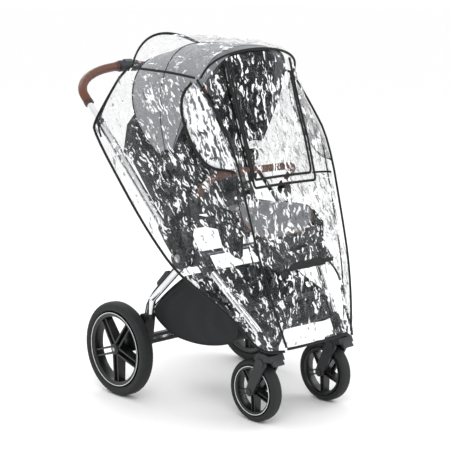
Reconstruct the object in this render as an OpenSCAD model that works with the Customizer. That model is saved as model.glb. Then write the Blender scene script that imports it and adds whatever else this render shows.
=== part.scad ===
// Four-wheeled pushchair with a clear rain cover.
// Forward is -Y, the child's left is +X, and the ground is Z = 0.

/* [Wheels] */
// Rear wheel radius
rear_r = 150; // [130:1:165]
// Front wheel radius
front_r = 95; // [85:1:100]
// Rear tyre width
rear_tyre_w = 46; // [36:1:50]
// Front tyre width
front_tyre_w = 40; // [30:1:42]
// Distance between the middles of the rear wheels
rear_track = 574; // [564:2:610]
// Distance between the middles of the front wheels
front_track = 300; // [290:2:310]
// Distance between the rear and front axles
wheelbase = 480; // [470:2:490]
// Distance from the swivel axis back to the front axle
trail = 62; // [58:1:66]
// Axle radius
axle_r = 6; // [5:0.5:7]

/* [Frame] */
// Radius of the handle's outer tubes
tube_r = 13; // [12:0.5:13.5]
// Radius of the front and rear legs
leg_r = 11.5; // [9:0.5:12]
// Radius of the sliding push bar
bar_r = 10; // [8:0.5:10]
// Height of the fold joint above the ground
hub_z = 478; // [476:1:480]
// Angle of the handle tubes above level
handle_a = 44.3; // [43:0.1:45]
// Radius of the fold joint's discs
hub_r = 33; // [28:1:35]

/* [Seat] */
// Half width of the seat pad and backrest pad
pad_hw = 150; // [130:2:156]
// Angle of the backrest from upright
backrest_a = 31; // [28:1:32]
// Length of the backrest
backrest_l = 405; // [380:5:410]
// Angle of the legrest below level
legrest_a = 33; // [30:1:38]

/* [Canopy] */
// Half width of the canopy
canopy_hw = 186; // [182:1:188]
// Thickness of the canopy cloth
cloth_t = 3; // [2:0.5:4]

/* [Rain cover] */
// Thickness of the clear panels
film_t = 1; // [0.8:0.1:1.5]
// Radius of the bound seams
seam_r = 3; // [2:0.5:3.5]

/* [Hidden] */
$fn = 48;

// Everything is drawn with Y = 0 midway between the axles, then moved by this much.
shift_y = -101.18;
gap = 0.3;
run_fit = 0.05;
pin_r = 8;

rear_y = wheelbase / 2;
front_y = -wheelbase / 2;
swivel_y = front_y - trail;
hub_y = -30;

// Places across the frame, from the middle outwards, on each side.
plate_x = 212;
leg_disc_x = 223;
handle_disc_x = 246;
hub_face_x = 242;
handle_x = 257;
rear_leg_x = 238;
front_leg_top = [229.5, -104, 468];
front_leg_end = [front_track / 2 + 3, -284, 252];
rear_leg_knee = [rear_leg_x, 131, 322];
rear_leg_end = [rear_leg_x, 152, 246];
beam_y = 170;
beam_z = 183;
housing_x = 224;

recline_y = 58;
recline_z = 572;
seat_y = 20;
seat_z = 562;
shell_t = 14;
seat_front_y = -158;
legrest_y = -168;
legrest_z = 550;
legrest_l = 168;
bumper_y = -18;
bumper_z = 640;
canopy_y = 112;
canopy_z = 738;

// ---------- shared geometry ----------
function unit(v) = v / norm(v);
function clamped(p, i) = p[max(0, min(len(p) - 1, i))];
function tangent(p, i) = unit(clamped(p, i + 1) - clamped(p, i - 1));
function square_to(n, t) = unit(n - (n * t) * t);
function first_normal(t) = square_to(abs(t[0]) < 0.7 ? [1, 0, 0] : [0, 0, 1], t);
function normals(p) = [for (i = 0, n = first_normal(tangent(p, 0)); i < len(p);
    n = square_to(n, tangent(p, min(i + 1, len(p) - 1))), i = i + 1) n];
function flat_list(l) = [for (a = l) for (b = a) b];
function mirrored(p) = [for (q = p) [-q[0], q[1], q[2]]];
function reversed(p) = [for (i = [len(p) - 1:-1:0]) p[i]];
function bezier(a, b, c, d, n) = [for (i = [0:n]) let (t = i / n, s = 1 - t)
    s * s * s * a + 3 * s * s * t * b + 3 * s * t * t * c + t * t * t * d];
// Length along a line of points up to each of them.
function runs(p) = [for (i = 0, s = 0; i < len(p);
    s = s + norm(clamped(p, i + 1) - p[i]), i = i + 1) s];
// The place at a share u of the line's whole length.
function along(p, u) = let (s = runs(p), at = u * s[len(s) - 1],
    i = max([for (k = [0:len(p) - 2]) if (s[k] <= at + 0.001) k]),
    f = (at - s[i]) / max(s[i + 1] - s[i], 0.001)) p[i] + f * (p[i + 1] - p[i]);
function resampled(p, n) = [for (i = [0:n]) along(p, i / n)];
// Points of a line after cutting each corner twice, ends kept.
function cut_once(p) = concat([p[0]], [for (i = [0:len(p) - 2]) each [
    0.75 * p[i] + 0.25 * p[i + 1], 0.25 * p[i] + 0.75 * p[i + 1]]], [p[len(p) - 1]]);
function smooth(p, n) = resampled(cut_once(cut_once(p)), n);

module placed() { translate([0, shift_y, 0]) children(); }
// The child's left side is +X; side is 1 for left and -1 for right.
module on_side(side) { placed() if (side > 0) children(); else mirror([1, 0, 0]) children(); }
module both_sides() { placed() { children(); mirror([1, 0, 0]) children(); } }

// A straight round bar from a to b.
module rod(a, b, r) {
    d = b - a;
    translate(a) rotate([0, acos(d[2] / norm(d)), atan2(d[1], d[0])]) cylinder(r = r, h = norm(d));
}

// A disc whose axis runs along X, from x0 to x1.
module disc(x0, x1, y, z, r) {
    translate([x0, y, z]) rotate([0, 90, 0]) cylinder(r = r, h = x1 - x0);
}

// A solid swept along points with one outline, a list of [across, up] offsets.
module swept(p, outline) {
    m = len(outline);
    n = normals(p);
    ring = [for (i = [0:len(p) - 1]) let (b = cross(tangent(p, i), n[i]))
        for (o = outline) p[i] + o[0] * n[i] + o[1] * b];
    wall = [for (i = [0:len(p) - 2]) for (k = [0:m - 1]) let (j = (k + 1) % m, a = i * m, c = a + m)
        each [[a + k, c + k, c + j], [a + k, c + j, a + j]]];
    polyhedron(points = ring, faces = concat(wall, [[for (k = [0:m - 1]) k]],
        [[for (k = [m - 1:-1:0]) (len(p) - 1) * m + k]]), convexity = 6);
}
function round_outline(r, sides) = [for (k = [0:sides - 1]) r * [cos(k * 360 / sides), sin(k * 360 / sides)]];

// A sleeve round a line of points, open at both ends.
module sleeve(p, r, bore, sides = 16) {
    n = normals(p);
    ring = [for (i = [0:len(p) - 1]) let (b = cross(tangent(p, i), n[i])) for (q = [r, bore])
        for (k = [0:sides - 1]) let (a = k * 360 / sides) p[i] + q * (cos(a) * n[i] + sin(a) * b)];
    m = 2 * sides;
    last = (len(p) - 1) * m;
    wall = [for (i = [0:len(p) - 2]) for (k = [0:sides - 1]) let (j = (k + 1) % sides, a = i * m, c = a + m)
        each [[a + k, c + k, c + j], [a + k, c + j, a + j],
            [a + sides + k, c + sides + j, c + sides + k], [a + sides + k, a + sides + j, c + sides + j]]];
    ends = [for (k = [0:sides - 1]) let (j = (k + 1) % sides)
        each [[k, j, sides + j], [k, sides + j, sides + k],
            [last + k, last + sides + j, last + j], [last + k, last + sides + k, last + sides + j]]];
    polyhedron(points = ring, faces = concat(wall, ends), convexity = 8);
}

// A sheet of thickness t through a grid of points; the grid's own surface is its outer face.
function grid_normal(g, i, j) = unit(cross(clamped(g, i + 1)[j] - clamped(g, i - 1)[j],
    clamped(g[i], j + 1) - clamped(g[i], j - 1)));
module sheet(g, t) {
    rows = len(g);
    cols = len(g[0]);
    inner = [for (i = [0:rows - 1]) [for (j = [0:cols - 1]) g[i][j] - t * grid_normal(g, i, j)]];
    k = rows * cols;
    face = [for (i = [0:rows - 2]) for (j = [0:cols - 2]) let (a = i * cols + j, b = a + 1, c = a + cols, d = c + 1)
        each [[a, b, d], [a, d, c], [k + a, k + d, k + b], [k + a, k + c, k + d]]];
    rim = concat([for (j = [0:cols - 1]) j], [for (i = [1:rows - 1]) i * cols + cols - 1],
        [for (j = [cols - 2:-1:0]) (rows - 1) * cols + j], [for (i = [rows - 2:-1:1]) i * cols]);
    edge = [for (q = [0:len(rim) - 1]) let (a = rim[q], b = rim[(q + 1) % len(rim)])
        each [[a, k + a, k + b], [a, k + b, b]]];
    polyhedron(points = concat(flat_list(g), flat_list(inner)), faces = concat(face, edge), convexity = 8);
}

// A flat plate with round corners, drawn on the XY plane and h thick.
module plate(w, l, h, r) {
    linear_extrude(h) {
        square([w - 2 * r, l], center = true);
        square([w, l - 2 * r], center = true);
        for (x = [-1, 1], y = [-1, 1]) translate([x * (w / 2 - r), y * (l / 2 - r)]) circle(r);
    }
}

// A link with round ends of two sizes: the straight sides are tangents to both circles.
module link_outline(a, b, ra, rb) {
    d = b - a;
    base = atan2(d[1], d[0]);
    turn = acos((ra - rb) / norm(d));
    translate(a) circle(ra);
    translate(b) circle(rb);
    polygon([for (s = [1, -1]) each (s > 0
        ? [a + ra * [cos(base + turn), sin(base + turn)], b + rb * [cos(base + turn), sin(base + turn)]]
        : [b + rb * [cos(base - turn), sin(base - turn)], a + ra * [cos(base - turn), sin(base - turn)]])]);
}
// The same link standing in the YZ plane between x0 and x1; a and b are [y, z].
module link(x0, x1, a, b, ra, rb) {
    translate([x0, 0, 0]) rotate([90, 0, 90]) linear_extrude(x1 - x0) link_outline(a, b, ra, rb);
}

// ---------- wheels ----------
rim_share = 0.787;
module tyre(r, w, x, y) {
    bead = r * rim_share + 0.2;
    color("#303234") translate([x, y, r]) rotate([0, 90, 0]) rotate_extrude($fn = 96) {
        intersection() {
            union() {
                translate([r - w * 0.46, 0]) circle(w * 0.46);
                translate([bead, -w / 2]) square([r - w * 0.46 - bead, w]);
            }
            translate([bead, -w]) square([r, 2 * w]);
        }
    }
}

// Five double spokes between a hub with a bore and a flanged rim.
module rim(r, w, x, y) {
    edge = r * rim_share;
    hub = r * 0.19;
    reach = edge * 0.9 - hub / 2;
    color("#1d1e20") translate([x, y, r]) rotate([0, 90, 0]) difference() {
        union() {
            rotate_extrude($fn = 96) {
                translate([edge * 0.86, -w * 0.42]) square([edge * 0.14, w * 0.84]);
                for (s = [-1, 1]) translate([edge * 0.9, s * w * 0.42 - w * 0.04]) square([edge * 0.1, w * 0.08]);
            }
            cylinder(r = hub, h = w * 0.9, center = true);
            linear_extrude(w * 0.72, center = true) for (k = [0:4], s = [-1, 1])
                rotate(k * 72) translate([hub / 2, s * r * 0.07 - r * 0.022]) square([reach, r * 0.044]);
        }
        cylinder(r = axle_r + 0.1, h = 2 * w, center = true);
    }
}
module rear_tyre(side) { placed() tyre(rear_r, rear_tyre_w, side * rear_track / 2, rear_y); }
module rear_rim(side) { placed() rim(rear_r, rear_tyre_w, side * rear_track / 2, rear_y); }
module front_tyre(side) { placed() tyre(front_r, front_tyre_w, side * front_track / 2, front_y); }
module front_rim(side) { placed() rim(front_r, front_tyre_w, side * front_track / 2, front_y); }

// ---------- chassis ----------
module fold_hub(side) {
    color("#222426") on_side(side) difference() {
        union() {
            disc(plate_x, leg_disc_x - 0.5, hub_y, hub_z, hub_r);
            link(plate_x, leg_disc_x - 0.5, [hub_y, hub_z], [front_leg_top[1] + 8, front_leg_top[2] + 2], 26, 20);
            difference() {
                link(plate_x, hub_face_x, [front_leg_top[1] + 14, front_leg_top[2] + 10],
                    [front_leg_top[1] - 14, front_leg_top[2] - 20], 19, 16);
                disc(leg_disc_x - 0.5, handle_disc_x, hub_y, hub_z, hub_r + 3);
            }
        }
        disc(plate_x - 1, leg_disc_x, hub_y, hub_z, pin_r + run_fit);
        rod(front_leg_top, front_leg_end, leg_r);
    }
}
// One tube right across, with a pin and a cap at each end.
module fold_shaft() {
    color("silver") {
        placed() disc(-plate_x, plate_x, hub_y, hub_z, 9);
        both_sides() {
            disc(plate_x, handle_x + 16 + gap, hub_y, hub_z, pin_r);
            disc(handle_x + 16 + gap, handle_x + 18 + gap, hub_y, hub_z, 13);
        }
    }
}
module seat_adaptors() {
    color("#222426") both_sides() difference() {
        union() {
            link(203, plate_x - gap, [hub_y, hub_z], [seat_y, seat_z + 4], 24, 17);
            disc(193.5, 203, seat_y, seat_z + 4, 14);
        }
        disc(200, plate_x + 1, hub_y, hub_z, 9);
    }
}
module front_leg(side) { color("#d4d6d8") on_side(side) rod(front_leg_top, front_leg_end, leg_r); }
front_bar_at = 0.6;
module front_cross_bar() {
    at = front_leg_top + front_bar_at * (front_leg_end - front_leg_top);
    color("#222426") placed() difference() {
        rod([-at[0], at[1], at[2]], at, 9);
        for (s = [1, -1]) translate([s * at[0], at[1], at[2]]) cube([2 * leg_r + 8, 60, 60], center = true);
    }
}
housing_top = 264;
crown_top = 222;
module caster_housing(side) {
    color("#222426") on_side(side) difference() {
        union() {
            translate([front_track / 2, swivel_y, crown_top + gap]) cylinder(r = 23, h = 26);
            translate([front_track / 2, swivel_y, crown_top + 26]) cylinder(r = 20, h = housing_top - crown_top - 26);
            rod(front_leg_end + 0.12 * (front_leg_top - front_leg_end), front_leg_end
                + 0.03 * (front_leg_end - front_leg_top), leg_r + 4);
        }
        translate([front_track / 2, swivel_y, crown_top - 1]) cylinder(r = 8.1, h = 33);
        rod(front_leg_top, front_leg_end, leg_r);
    }
}

// ---------- rear frame ----------
module rear_leg(side) {
    top = [rear_leg_x - 5, hub_y + 34, hub_z - 38];
    color("#d4d6d8") on_side(side) difference() {
        union() {
            disc(leg_disc_x, handle_disc_x - 1.5, hub_y, hub_z, hub_r - 3);
            rod([leg_disc_x + 8, hub_y + 14, hub_z - 15], top, 8);
            rod(top, rear_leg_knee, leg_r);
            translate(rear_leg_knee) sphere(leg_r + 0.5);
            rod(rear_leg_knee, rear_leg_end, leg_r);
        }
        disc(leg_disc_x - 1, handle_disc_x, hub_y, hub_z, pin_r + run_fit);
        disc(handle_disc_x - 0.5, handle_disc_x + 20, hub_y, hub_z, hub_r + 2);
    }
}
// Levers behind the tops of the rear legs that hold the frame open.
module fold_latches() {
    color("#222426") both_sides() difference() {
        link(rear_leg_x - 8, rear_leg_x + 3, [60, 411], [100, 375], 10, 7);
        rod([rear_leg_x - 5, hub_y + 34, hub_z - 38], rear_leg_knee, leg_r);
    }
}
brake_y = beam_y + 34;
brake_z = beam_z + 14;
brake_pin_r = 4;
module axle_beam() {
    color("#222426") placed() {
        for (s = [-1, 1])
            translate([-housing_x, beam_y - 9, beam_z + s * 10 - 5]) cube([2 * housing_x, 18, 10]);
        for (x = [-37, 31]) link(x, x + 6, [beam_y + 2, beam_z + 10], [brake_y, brake_z], 5, 8);
        disc(-37, 37, brake_y, brake_z, brake_pin_r);
    }
}
module axle_trim() {
    color("#c9cbcd") placed() translate([-housing_x, beam_y - 7, beam_z - 5]) cube([2 * housing_x, 14, 10]);
}
module rear_housing(side) {
    inner = rear_track / 2 - rear_tyre_w / 2 - 2;
    color("#222426") on_side(side) difference() {
        union() {
            link(housing_x, inner, [beam_y, beam_z], [rear_y, rear_r], 23, 19);
            link(housing_x, inner, [rear_leg_end[1], rear_leg_end[2] + 12], [beam_y, beam_z], 16, 22);
        }
        disc(housing_x - 1, inner + 1, rear_y, rear_r, axle_r);
        rod(rear_leg_knee, rear_leg_end, leg_r);
    }
}
module rear_axles() {
    color("silver") both_sides() disc(housing_x + 4, rear_track / 2 + rear_tyre_w / 2, rear_y, rear_r, axle_r);
}
module brake_pedal() {
    color("#2b2d2f") placed() translate([0, brake_y, brake_z]) rotate([-12, 0, 0]) difference() {
        union() {
            translate([0, 34, 0]) plate(96, 48, 8, 12);
            translate([-26, 0, 0]) cube([52, 16, 8]);
            rotate([0, 90, 0]) cylinder(r = 8, h = 60, center = true);
        }
        rotate([0, 90, 0]) cylinder(r = brake_pin_r + run_fit, h = 70, center = true);
    }
}

// ---------- casters ----------
module caster_fork(side) {
    half = front_tyre_w / 2 + 3;
    color("#36383a") placed() translate([side * front_track / 2, 0, 0]) difference() {
        union() {
            for (s = [-1, 1]) scale([s, 1, 1])
                link(half, half + 9, [swivel_y + 14, 192], [front_y - 2, front_r], 20, 15);
            translate([-half - 9, swivel_y - 24, 198]) cube([2 * half + 18, 62, crown_top - 198]);
            translate([0, swivel_y - 24, 198]) rotate([90, 0, 90]) translate([0, 0, -half])
                linear_extrude(2 * half) polygon([[0, 0], [-16, -10], [-10, -14], [6, 0]]);
            translate([0, swivel_y, crown_top - 1]) cylinder(r = 8, h = 31);
        }
        disc(-half - 10, half + 10, front_y, front_r, axle_r);
    }
}
module front_axle(side) {
    half = front_tyre_w / 2 + 12;
    color("silver") placed() disc(side * front_track / 2 - half, side * front_track / 2 + half, front_y, front_r, axle_r);
}

// ---------- handle ----------
function handle_at(s) = [handle_x, hub_y + s * cos(handle_a), hub_z + s * sin(handle_a)];
outer_end = 540;
grip_start = 620;
bend_start = 650;
bar_centre = [0, 541, 1013];
bar_bend = bezier(handle_at(bend_start), handle_at(bend_start + 62), bar_centre + [147, 0, 0], bar_centre, 14);
half_bar = concat([handle_at(380), handle_at(grip_start)], bar_bend);
centre_hw = 62;

module handle_tube(side) {
    color("#d4d6d8") on_side(side) difference() {
        rod(handle_at(96), handle_at(outer_end), tube_r);
        rod(handle_at(370), handle_at(outer_end + 1), bar_r + gap);
    }
    color("#222426") on_side(side) difference() {
        union() {
            disc(handle_disc_x, handle_x + 16, hub_y, hub_z, hub_r);
            rod(handle_at(18), handle_at(120), tube_r + 3);
        }
        disc(handle_disc_x - 1, handle_x + 17, hub_y, hub_z, pin_r + run_fit);
        translate([0, hub_y - 60, hub_z - 60]) cube([handle_disc_x, 200, 200]);
    }
}
module push_bar_tube() {
    color("#d4d6d8") placed()
        swept(concat(half_bar, [for (i = [len(half_bar) - 2:-1:0]) mirrored(half_bar)[i]]), round_outline(bar_r, 16));
}
module grip(side) {
    last = [for (q = bar_bend) if (q[0] > centre_hw - 4) q];
    color("#73371e") on_side(side) sleeve(concat([handle_at(grip_start)], last),
        14.5, bar_r + 0.4);
}
module handle_centre() {
    path = [for (q = bar_bend) if (q[0] < centre_hw - 8) q];
    color("#2e3032") placed() difference() {
        sleeve(concat(path, [for (i = [len(path) - 2:-1:0]) mirrored(path)[i]]), 19, bar_r + 0.4, 20);
        translate(bar_centre + [0, -2, 12]) rotate([0, 90, 0]) cylinder(r = 11, h = 30, center = true);
    }
}
module fold_button() {
    color("#4a4c4e") placed() intersection() {
        translate(bar_centre + [0, -2, 12]) rotate([0, 90, 0]) cylinder(r = 10.6, h = 29.2, center = true);
        translate(bar_centre + [-20, -20, bar_r + 4]) cube([40, 40, 20]);
    }
}

// ---------- seat ----------
// Two lugs under the seat's front edge that hold the legrest's rod.
legrest_rod_r = 4;
module both_lugs() {
    for (x = [-119, 112]) difference() {
        link(x, x + 7, [legrest_y, legrest_z], [seat_front_y + 14, seat_z + 4], 8, 8);
        disc(x - 1, x + 8, legrest_y, legrest_z, legrest_rod_r + run_fit);
    }
}
module seat_shell() {
    depth = recline_y - seat_front_y - 24;
    color("#26282a") placed() {
        translate([0, seat_front_y + depth / 2, seat_z]) plate(2 * pad_hw + 36, depth, shell_t, 24);
        for (s = [-1, 1]) translate([s * (pad_hw + 30), seat_y - 18, seat_z + shell_t / 2])
            cube([26, 88, shell_t - 2], center = true);
        both_lugs();
    }
}
module seat_pad() {
    color("#4a4e52") placed() translate([0, (seat_front_y + 24) / 2, seat_z + shell_t + gap])
        plate(2 * pad_hw, 24 - seat_front_y, 32, 40);
}
// The backrest's own frame: y is its face's outward normal, z runs up along it.
module in_backrest() {
    placed() translate([0, recline_y, recline_z]) rotate([-backrest_a, 0, 0]) children();
}
module standing_plate(w, h, t, r) { rotate([90, 0, 0]) translate([0, h / 2, -t]) plate(w, h, t, r); }
// The seat's side walls behind the backrest, drawn as [y, z] at rest.
back_wall = [[92, 617], [140, 548], [219, 616], [317, 731], [360, 752], [340, 842], [268, 910]];
module backrest_shell() {
    color("#1c1c1e") {
        in_backrest() translate([0, 6, 14]) standing_plate(2 * pad_hw + 28, backrest_l, 12, 40);
        placed() for (x = [-pad_hw - 14, pad_hw + 4]) translate([x, 0, 0]) rotate([90, 0, 90])
            linear_extrude(10) polygon(back_wall);
    }
}
module backrest_pad() {
    color("#2a2c2e") in_backrest() translate([0, -28.3, 48])
        standing_plate(2 * pad_hw - 10, backrest_l - 40, 34, 40);
}
module harness_straps() {
    color("#1c1c1e") in_backrest() for (s = [-1, 1])
        translate([s * 55, -31.6, 80]) standing_plate(38, 250, 3, 2);
}
buckle_z = seat_z + shell_t + 32 + 2 * gap;
buckle_t = 14;
button_r = 9;
module harness_buckle() {
    color("#1c1c1e") placed() {
        difference() {
            translate([0, -60, buckle_z]) plate(42, 50, buckle_t, 8);
            translate([0, -60, buckle_z + buckle_t - 6]) cylinder(r = button_r + gap, h = 7);
        }
        translate([0, -110, buckle_z]) plate(30, 60, 3, 2);
    }
}
// It stands 2.5 mm off the floor of its recess, so it can be pressed in by 2 mm.
module buckle_button() {
    color("#8a2a24") placed() translate([0, -60, buckle_z + buckle_t - 3.5]) cylinder(r = button_r, h = 5.5);
}

module in_legrest() {
    placed() translate([0, legrest_y, legrest_z]) rotate([legrest_a, 0, 0]) children();
}
module legrest() {
    color("#1c1c1e") in_legrest() {
        translate([0, -legrest_l / 2 - 10, -18]) plate(2 * pad_hw, legrest_l - 16, 16, 44);
        rotate([0, 90, 0]) cylinder(r = legrest_rod_r, h = 240, center = true);
        for (s = [-1, 1]) translate([s * 100 - 10, -30, -8]) cube([20, 32, 6]);
    }
}
module legrest_pad() {
    color("#4a4e52") in_legrest() translate([0, -56, -1.7]) plate(2 * pad_hw - 30, 76, 12, 34);
}
bumper_hw = 182;
module bumper_sockets() {
    color("#222426") both_sides() difference() {
        link(bumper_hw + 11.5, bumper_hw + 20, [bumper_y, bumper_z], [-26, seat_z + 10], 16, 13);
        disc(bumper_hw + 11, bumper_hw + 21, bumper_y, bumper_z, 6.05);
    }
}
module bumper_bar() {
    arm = bezier([bumper_hw, bumper_y, bumper_z], [bumper_hw, bumper_y - 22, bumper_z + 58],
        [bumper_hw, -88, 722], [120, -92, 726], 10);
    half = concat([for (i = [0:10]) arm[i]], [[60, -94, 727], [0, -95, 727]]);
    color("#7c4229") placed() {
        swept(concat(half, [for (i = [len(half) - 2:-1:0]) mirrored(half)[i]]), round_outline(11, 12));
        for (s = [-1, 1]) disc(min(s * bumper_hw, s * (bumper_hw + 20)), max(s * bumper_hw, s * (bumper_hw + 20)),
            bumper_y, bumper_z, 6);
    }
}

// ---------- basket ----------
basket_hw = 205;
basket_line = [[14, 404], [90, 350], [170, 277], [158, 255], [126, 232], [70, 207], [0, 203], [-66, 206],
    [-132, 217], [-190, 235], [-222, 256], [-216, 312]];
basket_inner = [[12, 450], [12, 400], [88, 346], [165, 276], [155, 257.5], [124, 235], [69, 210.5], [0, 206.5],
    [-65, 209.5], [-131, 220.5], [-188, 238.5], [-218.5, 258], [-212.5, 312], [-212.5, 450]];
module basket() {
    color("#26282a") placed() difference() {
        translate([-basket_hw, 0, 0]) rotate([90, 0, 90]) linear_extrude(2 * basket_hw) polygon(basket_line);
        translate([-basket_hw + 3.5, 0, 0]) rotate([90, 0, 90]) linear_extrude(2 * basket_hw - 7) polygon(basket_inner);
    }
}

// ---------- canopy ----------
canopy_front_a = 116;
foot_t = 3;
canopy_cols = 28;
// The rear bow leans back further at its feet than at its top.
function canopy_rear_a(t) = 30 + 27 * pow(sin(t), 1.2);
// Reach of the cloth from the hinge at an angle: longest over the front bow.
function canopy_reach(a) = 364 + 0.0245 * (a - 80) * (a - 80);
function canopy_at(a, t) = let (c = cos(t), r = canopy_reach(a) * pow(sin(t), 0.7)) [
    (c < 0 ? -1 : 1) * canopy_hw * pow(abs(c), 0.55), canopy_y + r * cos(a), canopy_z + r * sin(a)];
function canopy_turn(i) = foot_t + i * (180 - 2 * foot_t) / canopy_cols;
module canopy_fabric() {
    color("#8a8c8f") placed() sheet([for (u = [0:1 / 12:1.001]) [for (i = [0:canopy_cols])
        let (t = canopy_turn(i), rear = canopy_rear_a(t)) canopy_at(rear + u * (canopy_front_a - rear), t)]], cloth_t);
}
module canopy_visor() {
    color("#56585b") placed() sheet([for (a = [0.7, 2.2, 3.8]) [for (i = [0:canopy_cols])
        canopy_at(canopy_front_a + a, canopy_turn(i))]], cloth_t);
}
module canopy_hinges() {
    on_back = [recline_y + 200 * sin(backrest_a), recline_z + 200 * cos(backrest_a)];
    color("#222426") both_sides() {
        disc(pad_hw + 14, canopy_hw - 6, canopy_y, canopy_z, 20);
        link(pad_hw + 14, pad_hw + 22, [canopy_y, canopy_z], on_back, 12, 10);
    }
}

// ---------- rain cover ----------
// Half of each bound line, for the left side: seams run down the front, the hem down the back.
front_seam = [[192, 225, 1019], [194, 74, 1014], [192, -30, 1003], [190, -110, 915], [190, -190, 809],
    [181, -263, 556], [170, -298, 443], [150, -328, 328], [130, -347, 243]];
hem_line = [[192, 272, 1031], [232, 272, 1008], [260, 308, 932], [276, 350, 861], [279, 354, 830],
    [281, 184, 644], [285, 74, 540], [287, -52, 441], [270, -178, 384], [215, -247, 304],
    [190, -306, 233], [136, -354, 236]];
// The front panel's side and middle lines, point by point at the same heights.
front_foot = [[192, -30, 1003], [190, -110, 915], [190, -190, 809], [181, -263, 556], [170, -298, 443],
    [150, -328, 328], [130, -347, 243]];
front_apex = [[0, -84, 1107], [0, -135, 940], [0, -182, 812], [0, -262, 558], [0, -322, 445],
    [0, -338, 330], [0, -352, 240]];
window_v = 2.39;
window_t = 46;
// A point of an arch between two feet; a power under 1 squares its shoulders.
function arch(foot, apex, t, e = 0.72) = let (c = pow(max(cos(t), 0), e)) [foot[0] * sin(t),
    foot[1] + (apex[1] - foot[1]) * c, foot[2] + (apex[2] - foot[2]) * c];
function between(p, v) = let (i = min(floor(v), len(p) - 2)) p[i] + (v - i) * (p[i + 1] - p[i]);
function front_point(v, t) = arch(between(front_foot, v), between(front_apex, v), t);
roof_feet = [[192, 268, 1031], [194, 225, 1021], [196, 150, 1016], [196, 74, 1013], [192, -30, 1003]];
roof_apex = [[0, 341, 1119], [0, 260, 1120], [0, 170, 1119], [0, 60, 1117], [0, -84, 1108]];
module cover_roof() {
    color("#dfe3e6", 0.35) placed() sheet([for (k = [0:8]) [for (t = [-88:8:88])
        arch(between(roof_feet, k / 2), between(roof_apex, k / 2), t, 1.95 - 0.15 * k)]], film_t);
}
module cover_side(side) {
    upper = smooth(front_seam, 24);
    lower = smooth(hem_line, 24);
    color("#dfe3e6", 0.35) on_side(side) sheet([for (i = [0:24]) [for (j = [0:5])
        let (f = 0.006 + 0.988 * j / 5) upper[i] + f * (lower[i] - upper[i])
        + [5 + 12 * sin(f * 180), 0, 0]]], film_t);
}
module cover_front() {
    color("#dfe3e6", 0.35) placed() {
        sheet([for (k = [0:8]) [for (t = [86:-8.6:-86])
            front_point(window_v + 0.03 + (5.96 - window_v) * (k / 8) * 0.999, t)]], film_t);
        for (s = [1, -1]) sheet([for (k = [0:6]) [for (j = [0:3])
            front_point(0.06 + (window_v - 0.08) * k / 6, s > 0 ? 86 - 12.6 * j : -48.2 - 12.6 * j)]], film_t);
    }
}
module window_flap() {
    color("#dfe3e6", 0.35) placed() sheet([for (k = [0:8]) [for (t = [window_t:-window_t / 6:-window_t])
        front_point(0.12 + (window_v - 0.12) * k / 8, t) + [0, -3, 2]]], film_t);
}
module binding(p) { swept(p, round_outline(seam_r, 6)); }
module cover_hem_binding() {
    side = [for (q = smooth(hem_line, 30)) q + [8, 0, -2]];
    color("#2b2d2f") both_sides() binding(side);
    color("#2b2d2f") placed() {
        binding([for (t = [-84:12:84]) arch([197, 268, 1033], [0, 345, 1125], t, 1.95)]);
        binding([for (t = [-80:16:80]) front_point(6, t) + [0, -2, -6]]);
    }
}
module cover_seam_bindings() {
    color("#2b2d2f") both_sides() {
        binding([for (q = smooth([for (i = [2:8]) front_seam[i]], 24)) q + [9, -8, 2]]);
        binding([for (q = smooth([for (i = [0:2]) front_seam[i]], 6)) q + [11, 0, 7]]);
    }
    color("#2b2d2f") placed() binding([for (t = [-80:10:80]) arch([197, -38, 1008], [0, -92, 1112], t)]);
}
module window_binding() {
    side = [for (k = [0:10]) front_point(0.15 + (window_v - 0.2) * k / 10, window_t - 2) + [0, -9, 2]];
    across = [for (t = [42:-10.5:-42]) front_point(window_v - 0.02, t) + [0, -9, 2]];
    color("#2b2d2f") placed() binding(concat(side, across, reversed(mirrored(side))));
}

fold_hub(1);  // fold_hub_left
fold_hub(-1);  // fold_hub_right
fold_shaft();
seat_adaptors();
front_leg(1);  // front_leg_left
front_leg(-1);  // front_leg_right
front_cross_bar();
caster_housing(1);  // caster_housing_left
caster_housing(-1);  // caster_housing_right
seat_shell();
seat_pad();
harness_buckle();
buckle_button();
bumper_sockets();
basket();
rear_leg(1);  // rear_leg_left
rear_leg(-1);  // rear_leg_right
fold_latches();
axle_beam();
axle_trim();
rear_housing(1);  // rear_housing_left
rear_housing(-1);  // rear_housing_right
rear_axles();
brake_pedal();
rear_tyre(1);  // rear_tyre_left
rear_rim(1);  // rear_rim_left
rear_tyre(-1);  // rear_tyre_right
rear_rim(-1);  // rear_rim_right
caster_fork(1);  // caster_fork_left
caster_fork(-1);  // caster_fork_right
front_axle(1);  // front_axle_left
front_axle(-1);  // front_axle_right
front_tyre(1);  // front_tyre_left
front_rim(1);  // front_rim_left
front_tyre(-1);  // front_tyre_right
front_rim(-1);  // front_rim_right
handle_tube(1);  // handle_tube_left
handle_tube(-1);  // handle_tube_right
push_bar_tube();
grip(1);  // grip_left
grip(-1);  // grip_right
handle_centre();
fold_button();
backrest_shell();
backrest_pad();
harness_straps();
canopy_hinges();
canopy_fabric();
canopy_visor();
legrest();
legrest_pad();
bumper_bar();
cover_roof();
cover_side(1);  // cover_side_left
cover_side(-1);  // cover_side_right
cover_front();
cover_hem_binding();
cover_seam_bindings();
window_flap();
window_binding();
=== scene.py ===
"""Looks of a four-wheeled pushchair standing under its clear rain cover."""
import math

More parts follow.
